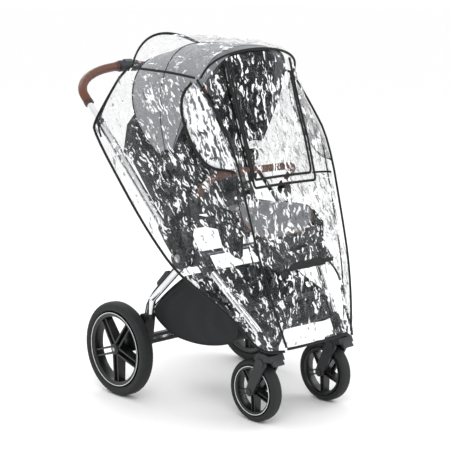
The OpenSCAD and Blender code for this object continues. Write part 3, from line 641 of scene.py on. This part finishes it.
bar = tube("push_bar", spaced(both_ways(half_bar), 180), 10, CHROME, "push_bar", 24)
stands_for(bar, "chrome_tube", "push_bar_tube")
for side, s in SIDES.items():
    flip = np.array([s, 1, 1])
    grip = spaced(np.concatenate([[handle_at(620)], bend[bend[:, 0] > 48]]), 90)
    share = np.linspace(0, 1, 90)
    swell = 14.3 + 0.25 * np.sin(share * 60) * np.exp(-((share - 0.45) / 0.2) ** 2)
    stands_for(tube(f"grip_{side}", grip * flip, swell, LEATHER, "push_bar", 32), "brown_leather", f"grip_{side}")
    out, up = frames(grip)[1:]
    under = (grip - 14.2 * (0.8 * out - 0.6 * up * s)) * flip
    stitches = bars([under[k:k + 2] for k in range(2, 86, 2)], 0.7, 6)
    stands_for(joined(f"grip_stitches_{side}", stitches, TRIM, "push_bar"), "brown_leather")
    rings = [spaced([handle_at(616), handle_at(628)], 6), fine_bend[(fine_bend[:, 0] > 44) & (fine_bend[:, 0] < 54)]]
    stands_for(joined(f"grip_trim_{side}", bars([q * flip for q in rings], 15.1, 32), TRIM, "push_bar"),
               "brown_leather")
centre = spaced(both_ways(fine_bend[fine_bend[:, 0] < 46]), 60)
waist = 19.0 - 3.6 * np.exp(-((np.abs(np.linspace(-1, 1, 60)) - 1) / 0.12) ** 2)
stands_for(tube("handle_housing", centre, waist, GREY, "push_bar", 40, 0.94), "fork_plastic", "handle_centre")

for side, s in SIDES.items():
    flip = np.array([s, 1, 1])
    pipe = np.array([handle_at(k) for k in np.linspace(112, 540, 30)])
    stands_for(tube(f"handle_tube_chrome_{side}", pipe * flip, 13, CHROME, "handle", 40), "chrome_tube",
               f"handle_tube_{side}")
    # Painted shade: a black strip along the outer side of the chrome tube, where the chrome looks dark between two
    # bright strips.
    painted_shade_strip = pipe + np.array([12.2, -2.6, 2.6])
    stands_for(tube(f"handle_painted_shade_strip_{side}", painted_shade_strip * flip, 1.7, BLACK, "handle", 10), "black_plastic")
    collar = [(18, 261.5), (40, 261.5), (70, 261), (100, 259.5), (116, 259), (120, 258)]
    collar = np.array([handle_at(k, x) for k, x in collar])
    hold = link(FOLD_JOINT, (FOLD_JOINT[0] + 0.1, FOLD_JOINT[1]), 33, 33, 40)
    ob = slabs(f"handle_knuckle_{side}", [(hold, s * 246.3, s * 273)], BLACK, "handle", bevel=3)
    stands_for(ob, "black_plastic")
    stands_for(tube(f"handle_collar_{side}", collar * flip, [18, 18, 17.6, 16.2, 15.6, 14.6], BLACK, "handle", 36),
               "black_plastic")
    cuff = np.array([handle_at(k) for k in (528, 531, 540, 545, 547)])
    stands_for(tube(f"handle_cuff_{side}", cuff * flip, [13.6, 14.4, 14.4, 13.6, 12], BLACK, "handle", 36),
               "black_plastic")

# ---------------------------------------------------------------- rear frame details
for side, s in SIDES.items():
    flip = np.array([s, 1, 1])
    knee, foot, top = np.array([238, 131, 322.0]), np.array([238, 152, 246.0]), np.array([233, 4, 440.0])
    strip = eased([top + (6, 6, 10), knee + (9.5, 9, 7), foot + (9, 10, 6)], 60)
    stands_for(tube(f"rear_leg_strip_{side}", strip * flip, 2.2, BLACK, "rear_frame", 10), "black_plastic")
    cuff = np.array([foot + k * (knee - foot) for k in (0.02, 0.1, 0.3, 0.36)])
    stands_for(tube(f"rear_leg_cuff_{side}", cuff * flip, [15, 15, 14.6, 12.6], BLACK, "rear_frame", 28),
               "black_plastic")

# ---------------------------------------------------------------- padded seat
BACK_A, LEG_A = -31, 33  # lean of the backrest and slope of the legrest, in degrees
BACK_O, LEG_O = (58, 572), (-168, 550)  # their hinges
WALL_X, WALL_HALF = 159, 8.5  # middle of a padded side wall, and half its thickness


def cushion_points(half, power=0.38, edge=0.55, rows=40, cols=80):
    """A crowned pad: a ball whose plan is squared by one power and whose edge is squared by another."""
    a = np.linspace(-np.pi / 2, np.pi / 2, rows)[:, None]
    b = np.linspace(0, 2 * np.pi, cols, endpoint=False)[None]
    ring = np.abs(np.cos(a)) ** edge
    grow = lambda t, e: np.sign(t) * np.abs(t) ** e
    return np.stack([half[0] * ring * grow(np.cos(b), power), half[1] * ring * grow(np.sin(b), power),
                     half[2] * grow(np.sin(a), 0.8) + 0 * b], -1)


def swollen(pad, cap, voxel=0.006, steps=20):
    """Air pressure swells the pad for some steps; no point moves further than the cap. Sizes in metres."""
    remesh = pad.modifiers.new("voxels", "REMESH")
    remesh.mode, remesh.voxel_size = "VOXEL", voxel
    ready = bpy.data.meshes.new_from_object(pad.evaluated_get(bpy.context.evaluated_depsgraph_get()))
    look = pad.data.materials[0]
    pad.modifiers.clear()
    pad.data = ready
    if not pad.data.materials:
        pad.data.materials.append(look)
    cloth = pad.modifiers.new("air", "CLOTH")
    cloth.settings.quality = 4
    cloth.settings.use_pressure = True
    cloth.settings.uniform_pressure_force = 4
    cloth.settings.effector_weights.gravity = 0
    for step in range(1, steps + 1):
        scene.frame_set(step)
    moved = pad.evaluated_get(bpy.context.evaluated_depsgraph_get()).to_mesh()
    old = read(pad.data, "co")
    push = read(moved, "co") - old
    size = np.linalg.norm(push, axis=1, keepdims=True)
    old += push * np.minimum(1, cap / np.maximum(size, 1e-9))
    pad.data.vertices.foreach_set("co", old.ravel())
    pad.modifiers.clear()
    scene.frame_set(1)


def finished(ob, slot, cad):
    """One level of subdivision, then the CAD nodes it stands for are hidden. The slot is not used."""
    ob.data.polygons.foreach_set("use_smooth", [True] * len(ob.data.polygons))
    finer = ob.modifiers.new("finer", "SUBSURF")
    finer.levels = finer.render_levels = 1
    stands_for(ob, slot, *cad)


def pad(name, half, centre, angle, origin, look, body, cad=(), cap=0.007, seams=(), fill=0.7, power=0.38):
    """A padded piece: swollen, then sewn down along seams. A seam is (axis, place, half width, depth) in its own mm."""
    shape = cushion_points(half, power)
    points = along_x(shape + centre, angle, origin)
    ob = piece(name, mm(points), grid_faces(*points.shape[:2], round_cols=True), look, body, weld=True)
    swollen(ob, cap)
    co, no = read(ob.data, "co"), read(ob.data, "normal")
    design = co * 1000 - (0, SHIFT, 0) - (0, origin[0], origin[1])
    own = along_x(design, -angle, (0, 0)) - centre
    for axis, place, width, depth in seams:
        co = co - no * (depth / 1000 * np.exp(-((own[:, axis] - place) / width) ** 2))[:, None]
    dimple = 0.5 * np.sin(own[:, 0] / 9 + np.sin(own[:, 1] / 13)) * np.sin(own[:, 2] / 11 + own[:, 1] / 17)
    co = co + no * (dimple / 1000)[:, None]
    ob.data.vertices.foreach_set("co", co.ravel())
    cloth_map(ob.data, (own[:, [0, 1]] if half[2] < half[1] else own[:, [0, 2]]) / 1000)
    finished(ob, "grey_cloth" if look is LINER else "black_cloth", cad)


back = {"angle": BACK_A, "origin": BACK_O, "body": "backrest"}
pad("seat_cushion", (146, 88, 14), (0, -67, 593), 0, (0, 0), CLOTH, "chassis", ["seat_pad"],
    seams=[(0, -60, 5, 3), (0, 60, 5, 3), (1, 10, 5, 3)], fill=0.6)
pad("backrest_cushion", (140, 14, 178), (0, -13, 232), look=CLOTH, cad=["backrest_pad"],
    seams=[(0, -72, 5, 4), (0, 72, 5, 4), (2, 60, 5, 3), (2, -60, 5, 3)], **back)
for side, s in SIDES.items():
    pad(f"backrest_wing_{side}", (13, 30, 165), (s * 150, -26, 250), look=CLOTH, cap=0.005, power=0.6,
        seams=[(2, 0, 5, 3)], **back)
pad("head_cushion", (84, 13, 62), (0, -38, 345), look=LINER, cap=0.005, power=0.5, seams=[(0, 0, 5, 2)], **back)


def side_wall(side):
    """A quilted wall: rings drawn in from the outline to its middle, crowned by a power of the distance in."""
    s = SIDES[side]
    outline = eased([[0, 92, 617], [0, 140, 550], [0, 219, 618], [0, 317, 733], [0, 356, 754], [0, 338, 840],
                     [0, 268, 908], [0, 180, 762], [0, 92, 617]], 120)[:-1]
    inward = np.linspace(0, 1, 24)[:, None, None]
    ring = outline[None] + (np.array([0, 225, 735.0]) - outline[None]) * inward
    crown = WALL_HALF * (1 - (1 - inward[..., 0]) ** 2.6) ** 0.55 + 0 * ring[..., 0]
    front, back = ring.copy(), ring.copy()
    front[..., 0], back[..., 0] = s * WALL_X + crown, s * WALL_X - crown
    points = np.concatenate([front[::-1], back[1:]])
    ob = piece(f"seat_side_wall_{side}", mm(points), grid_faces(*points.shape[:2], round_cols=True), CLOTH, "backrest",
               weld=True)
    swollen(ob, 0.004)
    cloth_map(ob.data, read(ob.data, "co")[:, 1:])
    finished(ob, "black_cloth", ())
    edge = outline + (s * 8, 0, 0)
    stands_for(tube(f"seat_side_piping_{side}", edge, 2.2, TAPE, "backrest", 8), "binding_cloth")


for side in SIDES:
    side_wall(side)
pad("legrest_cushion", (146, 74, 5.5), (0, -94, -10), LEG_A, LEG_O, CLOTH, "legrest", ["legrest"], cap=0.003,
    power=0.42, seams=[(1, -30, 4, 1.5)])
pad("legrest_liner", (133, 38, 4.5), (0, -56, 2.6), LEG_A, LEG_O, CLOTH, "legrest", ["legrest_pad"], cap=0.003,
    power=0.5)


def seat_front():
    """A liner from the seat over its front edge, its half width closing by a power of the way down, piped round."""
    path = eased([[0, -30, 610], [0, -120, 611], [0, -160, 607], [0, -178, 592], [0, -190, 562], [0, -203, 533]], 60)
    v = np.linspace(0, 1, 60)
    half = np.interp(v, [0, 0.4, 0.6], [92, 118, 146]) * (1 - (np.clip(v - 0.6, 0, 0.4) / 0.402) ** 2.6) ** (1 / 2.6)
    u = np.linspace(-1, 1, 61)[None]
    crown = 3.5 * (1 - np.abs(u) ** 5) * np.sin(np.pi * np.clip(v, 0.05, 0.97))[:, None] ** 0.5
    rows = path[:, None] + np.stack([half[:, None] * u, 0 * u + 0 * v[:, None], crown], -1)
    rows[..., 1] -= crown * np.clip(v * 2 - 0.9, 0, 1)[:, None]
    rows[..., 2] += 0.6 * np.sin(rows[..., 0] / 9) * np.sin(rows[..., 1] / 7)
    cloth_sheet("seat_front_liner", rows, LINER, "chassis", "grey_cloth", thick=5,
                facing=(0, -0.5, 1))
    border = np.concatenate([rows[20:, 0], rows[-2:20:-1, -1]]) + (0, -2, 1)
    stands_for(tube("seat_front_piping", spaced(border, 140), 3.0, LEATHER, "chassis", 12), "brown_leather")


def seat_skirt(side):
    """A gathered skirt under the seat's edge: its lower line rises over the fold joint and drops before and behind."""
    s = SIDES[side]
    y = np.linspace(-205, 155, 150)[:, None]
    top = np.interp(y, [-205, -165, 95, 155], [560, 592, 596, 570])
    low = np.interp(y, [-205, -190, -112, -96, 14, 26, 80, 100, 155], [500, 484, 508, 566, 566, 486, 456, 462, 545])
    v = np.linspace(0, 1, 40)[None]
    x = 171 + 2.6 * np.sin(y / 6.5 + 2.5 * v) * v + 1.5 * np.sin(y / 2.9 + 1.3 * np.sin(5 * v)) * v
    sheet = np.stack([s * x, y + 0 * v, top + (low - top) * v], -1)
    cloth_sheet(f"seat_skirt_{side}", sheet, CLOTH, "chassis", "black_cloth", thick=1.2,
                facing=(s, 0, 0))


seat_front()
for side in SIDES:
    seat_skirt(side)
rod = np.array([[x, -168, 550] for x in np.linspace(-120, 120, 12)])
stands_for(tube("legrest_rod", rod, 4, STEEL, "legrest", 16), "steel_pins")


def strap(name, line, width, body, cad=(), thick=1.6):
    """Flat webbing: a line in mm with a width across it."""
    p = eased(line, 60)
    v = np.linspace(-0.5, 0.5, 7)[None, :, None] * width * np.array([1.0, 0, 0])
    cloth_sheet(name, p[:, None] + v, WEBBING, body, "webbing", cad, thick=thick)


for side, s in SIDES.items():
    line = np.array([[s * 46, -32, 330], [s * 50, -40, 300], [s * 55, -46, 240], [s * 50, -46, 160], [s * 36, -44, 96]])
    strap(f"shoulder_strap_{side}", along_x(line, BACK_A, BACK_O), 32, "backrest", ["harness_straps"] if s > 0 else [])
    pad(f"shoulder_pad_{side}", (23, 6, 68), (s * 54, -50, 236), look=CLOTH, cap=0.003, power=0.5, **back)
pad("crotch_pad", (30, 9, 46), (0, -92, 668), -6, (0, 0), CLOTH, "chassis", cap=0.003, power=0.5)

# ---------------------------------------------------------------- bumper bar
arm = bezier(np.array([182, -18, 640.0]), np.array([182, -40, 698.0]), np.array([182, -88, 722.0]),
             np.array([120, -92, 726.0]), 40)
bumper = spaced(both_ways(np.concatenate([arm, [[60, -94, 727], [0, -95, 727]]])), 160)
stands_for(tube("bumper_bar_leather", bumper, 11.2, LEATHER, "bumper_bar", 32), "brown_leather", "bumper_bar")
under = bumper - 11.2 * frames(bumper)[1]
stitches = bars([under[k:k + 2] for k in range(8, 150, 2)], 0.65, 6)
stands_for(joined("bumper_stitches", stitches, TRIM, "bumper_bar"), "brown_leather")
for side, s in SIDES.items():
    flip = np.array([s, 1, 1])
    ob = slabs(f"bumper_end_{side}", [(link([-18, 640], [-23, 656], 15, 13), s * 170, s * 193)], BLACK, "bumper_bar",
               bevel=3)
    stands_for(ob, "black_plastic")

# ---------------------------------------------------------------- basket
basket_edge = [[14, 404], [90, 350], [166, 284], [171, 268], [158, 254], [126, 232], [70, 208], [0, 203.5], [-66, 206],
               [-132, 217], [-190, 235], [-219, 256], [-222, 276], [-216, 312]]
outline = eased([[0, *q] for q in basket_edge], 120)[:, 1:]


def basket_sheets():
    """A sagging bag: the floor hangs lower between its sides, and each side is a fan from its top edge, bulged out."""
    x = np.linspace(-1, 1, 61)[None]
    sag = 4 * (1 - x ** 4) * np.sin(np.linspace(0, np.pi, 120))[:, None] ** 2
    round_in = np.abs(x) ** 14
    middle = np.array([-40.0, 320.0])
    y = outline[:, :1] + (middle[0] - outline[:, :1]) * 0.04 * round_in
    z = outline[:, 1:] + (middle[1] - outline[:, 1:]) * 0.04 * round_in - sag + 4
    u = np.linspace(0, 1, 120)[:, None]
    z = z + 0.8 * np.sin(40 * u + 5 * x) * np.sin(7 * x + 3 * u)
    floor = np.stack([204 * x + 0 * y, y, z], -1)
    cloth_sheet("basket_floor", floor, BASKET, "chassis", "basket_cloth", ["basket"], thick=1.6,
                facing=(0, 0, -1))
    top = np.stack([np.interp(np.linspace(0, 1, 120), [0, 1], [14, -216]),
                    np.interp(np.linspace(0, 1, 120), [0, 1], [404, 312])], 1)
    w = np.linspace(0, 1, 50)[None, :, None]
    yz = top[:, None] + (outline[:, None] + (middle - outline[:, None]) * 0.02 - top[:, None]) * w
    share = np.linspace(0, 1, 120)[:, None]
    folds = 1.6 * np.sin(16 * share + 5 * w[..., 0]) * w[..., 0] + 1.2 * np.sin(31 * share - 9 * w[..., 0] ** 2)
    out = 203.5 + 5.5 * np.sin(np.pi * w[..., 0]) * np.sin(np.pi * share) + folds * np.sin(np.pi * w[..., 0]) * 0.8
    for side, s in SIDES.items():
        wall = np.concatenate([s * out[..., None], yz], -1)
        cloth_sheet(f"basket_side_{side}", wall, BASKET, "chassis", "basket_cloth", thick=1.4,
                    facing=(s, 0, 0))
        rim = np.stack([np.full(120, s * 204.5), outline[:, 0], outline[:, 1] + 2], 1)
        stands_for(tube(f"basket_binding_{side}", rim, 2.0, TAPE, "chassis", 10), "binding_cloth")
        brim = np.stack([np.full(2, s * 204), top[[0, -1], 0], top[[0, -1], 1] + 1], 1)
        stands_for(tube(f"basket_brim_{side}", spaced(brim, 20), 4, TAPE, "chassis", 12), "binding_cloth")
    for name, k in (("rear", 0), ("front", -1)):
        bar = np.array([[x_, outline[k, 0], outline[k, 1]] for x_ in np.linspace(-204, 204, 20)])
        stands_for(tube(f"basket_{name}_brim", bar, 4, TAPE, "chassis", 12), "binding_cloth")


basket_sheets()

# ---------------------------------------------------------------- canopy
HINGE = (112, 738)
CANOPY_REACH = 364


def canopy_at(a, t, grow=0.0):
    """The hood: reach r from the side hinges at angle a, over the top from t = 0 to 180 degrees."""
    c, s = np.cos(np.radians(t)), np.sin(np.radians(t))
    r = (CANOPY_REACH + 0.0245 * (a - 80) ** 2 + grow) * s ** 0.7
    return np.stack([np.sign(c) * (186 + 0.6 * grow) * np.abs(c) ** 0.55 + 0 * a,
                     HINGE[0] + r * np.cos(np.radians(a)), HINGE[1] + r * np.sin(np.radians(a))], -1)


def canopy_pieces():
    """Outer cloth with tight bows and slack between them, black lining, front band and its bindings."""
    t = np.linspace(3, 177, 150)[None]
    u = np.linspace(0, 1, 90)[:, None]
    rear = 30 + 27 * np.sin(np.radians(t)) ** 1.2
    a = rear + u * (114 - rear)
    slack = -5.0 * np.sin(np.pi * np.clip((u - 0.02) / 0.46, 0, 1)) ** 2 - 4.0 * np.sin(
        np.pi * np.clip((u - 0.5) / 0.49, 0, 1)) ** 2
    slack = slack * np.sin(np.radians(t)) ** 0.5
    crumple = 0.8 * np.sin(9 * u + 0.11 * t) * np.sin(0.16 * t + 4 * u) * np.sin(np.radians(t))
    shell = canopy_at(a, t, slack + crumple)
    ob = cloth_sheet("canopy_shell", shell, CANOPY, None, "canopy_cloth", thick=0,
                     facing=(0, 0, 1))
    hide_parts("canopy_fabric")
    lining = canopy_at(a[::2, ::2], t[:, ::2], slack[::2, ::2] - 5)
    under = cloth_sheet("canopy_lining", lining, CLOTH, None, "black_cloth", thick=0,
                        facing=(0, 0, -1))
    back, front = mm(canopy_at(57.0, 90.0)), mm(canopy_at(116.0, 90.0))
    band = canopy_at(np.linspace(113.5, 119.6, 16)[:, None], t, 1.5)
    stands_for(cloth_sheet("canopy_visor_band", band, VISOR, "canopy", "canopy_cloth", ["canopy_visor"], thick=1.6,
                           facing=(0, 0, 1)), "canopy_cloth")
    lines = {"canopy_front_binding": (119.8, 2.8), "canopy_front_seam": (113.6, 1.6)}
    for name, (angle, r) in lines.items():
        path = canopy_at(np.full(120, angle), np.linspace(3, 177, 120), 1.5)
        stands_for(tube(name, path, r, TAPE, "canopy", 10), "binding_cloth")
    mid = rear[0] + 0.49 * (114 - rear[0])
    for name, angle, r in (("canopy_rear_binding", rear[0], 2.4), ("canopy_middle_seam", mid, 1.3)):
        path = spaced(canopy_at(angle, t[0], 1.0), 110)
        stands_for(tube(name, path, r, TAPE, "backrest", 10), "binding_cloth")
    return ob, under, back, front


canopy_shell, canopy_lining, canopy_back, canopy_front = canopy_pieces()

# ---------------------------------------------------------------- rain cover
FRONT_SEAM = [[192, 225, 1019], [194, 74, 1014], [192, -30, 1003], [190, -110, 915], [190, -190, 809],
              [181, -263, 556], [170, -298, 443], [150, -328, 328], [130, -347, 243]]
HEM = [[192, 272, 1031], [232, 272, 1008], [260, 308, 932], [276, 350, 861], [279, 354, 830], [281, 184, 644],
       [285, 74, 540], [287, -52, 441], [270, -178, 384], [215, -247, 304], [190, -306, 233], [136, -354, 236]]
FRONT_FOOT = FRONT_SEAM[2:]
FRONT_APEX = [[0, -84, 1100], [0, -122, 940], [0, -158, 812], [0, -236, 558], [0, -300, 445], [0, -326, 330],
              [0, -350, 240]]
ROOF_FEET = [[192, 268, 1031], [194, 225, 1021], [196, 150, 1016], [196, 74, 1013], [192, -30, 1003]]
ROOF_APEX = [[0, 341, 1119], [0, 260, 1120], [0, 170, 1119], [0, 60, 1117], [0, -84, 1108]]
WINDOW_V, WINDOW_T = 2.49, 46  # the window's lower edge, and its half width in degrees


def between(line, v):
    """The point at a place counted in the line's own points."""
    p = np.asarray(line, float)
    v = np.clip(v, 0, len(p) - 1)
    return np.stack([np.interp(v, np.arange(len(p)), p[:, k]) for k in range(3)], -1)


def arch(foot, apex, t, power=0.72):
    """From foot to foot over an apex: sideways by the sine, forward and up by the cosine to a power."""
    foot, apex = np.asarray(foot, float), np.asarray(apex, float)
    c, s = np.maximum(np.cos(np.radians(t)), 0) ** power, np.sin(np.radians(t))
    return np.stack([foot[..., 0] * s, foot[..., 1] + (apex[..., 1] - foot[..., 1]) * c,
                     foot[..., 2] + (apex[..., 2] - foot[..., 2]) * c], -1)


def front_point(v, t):
    """A point of the front: v counts down the seam's points, t runs across from side to side."""
    v, t = np.broadcast_arrays(np.asarray(v, float), np.asarray(t, float))
    return arch(between(FRONT_FOOT, v), between(FRONT_APEX, v), t)


def film(name, p, look, body, cad, seed, depth=1.0, facing=(0, 0, 1), fade=0.05, lean=0.5):
    """A crumpled clear panel: folds along its normals, fading out at its sewn edges."""
    u, v = lengths(p)[..., 0], lengths(p)[..., 1]
    i, j = np.linspace(0, 1, p.shape[0])[:, None], np.linspace(0, 1, p.shape[1])[None]
    hold = np.clip(np.minimum(np.minimum(i, 1 - i), np.minimum(j, 1 - j)) / fade, 0, 1)
    q = p + grid_normals(p) * (creases(u, v, seed, lean=lean) * hold * depth)[..., None]
    cloth_sheet(name, q, look, body, "clear_pvc", cad, thick=0,
                facing=facing)


def cover_pieces():
    """Roof, two sides, front and its window flap, all of clear film."""
    k, t = np.linspace(0, 8, 100)[:, None], np.linspace(-88, 88, 170)[None]
    roof = arch(between(ROOF_FEET, k / 2 + 0 * t), between(ROOF_APEX, k / 2 + 0 * t), t, 1.95 - 0.15 * k)
    film("cover_roof_film", roof, FILM_ROOF, "rain_cover", ["cover_roof"], 11, 0.7, lean=1.2)
    upper, lower = eased(FRONT_SEAM, 260), eased(HEM, 260)
    f = np.linspace(0.006, 0.994, 110)[None, :, None]
    panel = upper[:, None] + f * (lower - upper)[:, None]
    panel[..., 0] += 5 + 12 * np.sin(np.pi * f[..., 0])
    for side, s in SIDES.items():
        film(f"cover_side_film_{side}", panel * (s, 1, 1), FILM_SIDE, "rain_cover", [f"cover_side_{side}"],
             21 + s, 1.0, facing=(s, 0, 0))
    low = front_point(np.linspace(WINDOW_V + 0.03, 5.98, 150)[:, None], np.linspace(86, -86, 150)[None])
    film("cover_front_film", low, FILM, "rain_cover", ["cover_front"], 31, 1.0, facing=(0, -1, 0), lean=0.9)
    for side, s in SIDES.items():
        strip = front_point(np.linspace(0.06, WINDOW_V - 0.02, 110)[:, None], s * np.linspace(86, 48.2, 50)[None])
        film(f"cover_strip_film_{side}", strip, FILM, "rain_cover", [], 41 + s, 0.8, facing=(0, -1, 0))
    pane = front_point(np.linspace(0.12, WINDOW_V, 120)[:, None], np.linspace(WINDOW_T, -WINDOW_T, 110)[None])
    film("window_film", pane + (0, -3, 2), FILM_WINDOW, "window_flap", ["window_flap"], 51, 0.6, facing=(0, -1, 0))


cover_pieces()

DOOR_I = np.array([0.229, 0.246, 0.292, 0.35, 0.392, 0.442, 0.467, 0.483, 0.504, 0.517])
DOOR_F = np.array([0.0, 0.117, 0.208, 0.242, 0.25, 0.233, 0.192, 0.142, 0.042, 0.0])


def door_point(i, share, lift):
    """A point of the side's D-shaped window: share 0 is the front seam and 1 its arc, lifted off the side in mm."""
    seam, hem = eased(FRONT_SEAM, 241), eased(HEM, 241)
    f = share * np.interp(i, DOOR_I, DOOR_F)
    start, end = (spot[np.round(np.asarray(i) * 240).astype(int)] for spot in (seam, hem))
    p = start + f[..., None] * (end - start)
    p[..., 0] += 5 + 12 * np.sin(np.pi * f) + lift
    return p


rows, shares = np.meshgrid(np.linspace(DOOR_I[0], DOOR_I[-1], 69), np.linspace(0.02, 1, 30), indexing="ij")
for side, s in SIDES.items():
    film(f"side_window_film_{side}", door_point(rows, shares, 7) * (s, 1, 1), FILM_DOOR, "rain_cover", [], 61 + s, 0.4,
         facing=(s, 0, 0))


def tape(name, lines, width, body, *cad):
    """Flattened bias tape along several lines, as one piece."""
    stands_for(joined(name, bars(lines, width, 10, 0.7), TAPE, body), "binding_cloth", *cad)


def bindings():
    """Bias tape over every cut edge, and the window's double line where its zip runs."""
    side = eased(HEM, 240) + (8, 0, -2)
    across = np.linspace(-84, 84, 70)
    hems = [side, side * MIRROR, arch([197, 268, 1033], [0, 345, 1125], across, 1.95),
            front_point(np.full(60, 5.98), np.linspace(-80, 80, 60)) + (0, -2, -6)]
    tape("hem_binding", hems, 4.4, "rain_cover", "cover_hem_binding")
    front = eased(FRONT_SEAM[2:], 160) + (9, -8, 2)
    top = eased(FRONT_SEAM[:3], 60) + (11, 0, 7)
    seams = [front, front * MIRROR, top, top * MIRROR,
             arch([193, -42, 1001], [0, -92, 1092], np.linspace(-88, 88, 80))]
    tape("seam_binding", seams, 3.9, "rain_cover", "cover_seam_bindings")
    v = np.linspace(0.15, WINDOW_V - 0.05, 60)
    left = front_point(v, np.full(60, WINDOW_T - 2.0))
    bottom = front_point(np.full(40, WINDOW_V - 0.02), np.linspace(WINDOW_T - 4, 4 - WINDOW_T, 40))
    ring = eased(np.concatenate([left, bottom, (left * MIRROR)[::-1]]), 260) + (0, -9, 2)
    left = front_point(v, np.full(60, WINDOW_T - 6.0))[8:-3]
    bottom = front_point(np.full(40, WINDOW_V - 0.11), np.linspace(WINDOW_T - 8, 8 - WINDOW_T, 40))
    inner = eased(np.concatenate([left, bottom, (left * MIRROR)[::-1]]), 240) + (0, -8, 2)
    tape("window_binding_tape", [ring, inner], 4.0, "window_flap", "window_binding")
    arcs = eased(door_point(DOOR_I, np.ones(10), 12), 80)
    tape("side_window_binding", [arcs, arcs * MIRROR], 4.2, "rain_cover")
    tuck = eased(FRONT_SEAM[4:], 100) + (11, 24, 4)
    tape("front_seam_tuck", [tuck, tuck * MIRROR], 2.6, "rain_cover")
    cross = [front_point(np.full(20, WINDOW_V - 0.11), s * np.linspace(WINDOW_T - 3, 88, 20)) + (0, -5, 1)
             for s in (1, -1)]
    tape("front_cross_seam", cross, 3.2, "rain_cover")
    patch = eased([[262, 300, 944], [268, 318, 914], [271, 344, 868], [275, 344, 838], [276, 330, 812]], 50)
    tape("hem_gusset", [patch, patch * MIRROR], 3.6, "rain_cover")


bindings()

# ---------------------------------------------------------------- finishes of the parts that keep their own solids
kept = {
    BLACK: ["fold_hub_left", "fold_hub_right", "seat_adaptors", "front_cross_bar", "caster_housing_left",
            "caster_housing_right", "seat_shell", "harness_buckle", "bumper_sockets", "fold_latches", "axle_beam",
            "rear_housing_left", "rear_housing_right", "brake_pedal", "canopy_hinges", "backrest_shell"],
    CHROME: ["front_leg_left", "front_leg_right", "rear_leg_left", "rear_leg_right", "axle_trim"],
    STEEL: ["fold_shaft", "rear_axles", "front_axle_left", "front_axle_right"],
    RED: ["buckle_button"],
    BUTTON: ["fold_button"],
}
for look, names in kept.items():
    for name in names:
        mesh = nodes[name].data
        mesh.materials.clear()
        mesh.materials.append(look)

# ---------------------------------------------------------------- cloth between bodies, on none of them: its transform baked into its points
for cloth in (canopy_shell, canopy_lining):
    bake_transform(cloth)

# ---------------------------------------------------------------- stage
aim_camera()
studio()
soft_light("key", (-2.2, -2.6, 3.4), 2.4, 70)
soft_light("fill", (2.8, -1.6, 2.2), 2.4, 30)
soft_light("back", (0.5, 3.0, 3.0), 2.4, 40)
ground_look = blank("white_studio_floor", Base_Color=(0.95, 0.95, 0.95, 1), Roughness=0.8)[0]
ground_mesh = bpy.data.meshes.new("floor")
corners = [(60 * a, 60 * b, -0.0005) for a, b in ((-1, -1), (1, -1), (1, 1), (-1, 1))]
ground_mesh.from_pydata(corners, [], [(0, 1, 2, 3)])
ground_mesh.materials.append(ground_look)
ground = bpy.data.objects.new("floor", ground_mesh)
scene.collection.objects.link(ground)
scene.view_settings.view_transform = "Standard"
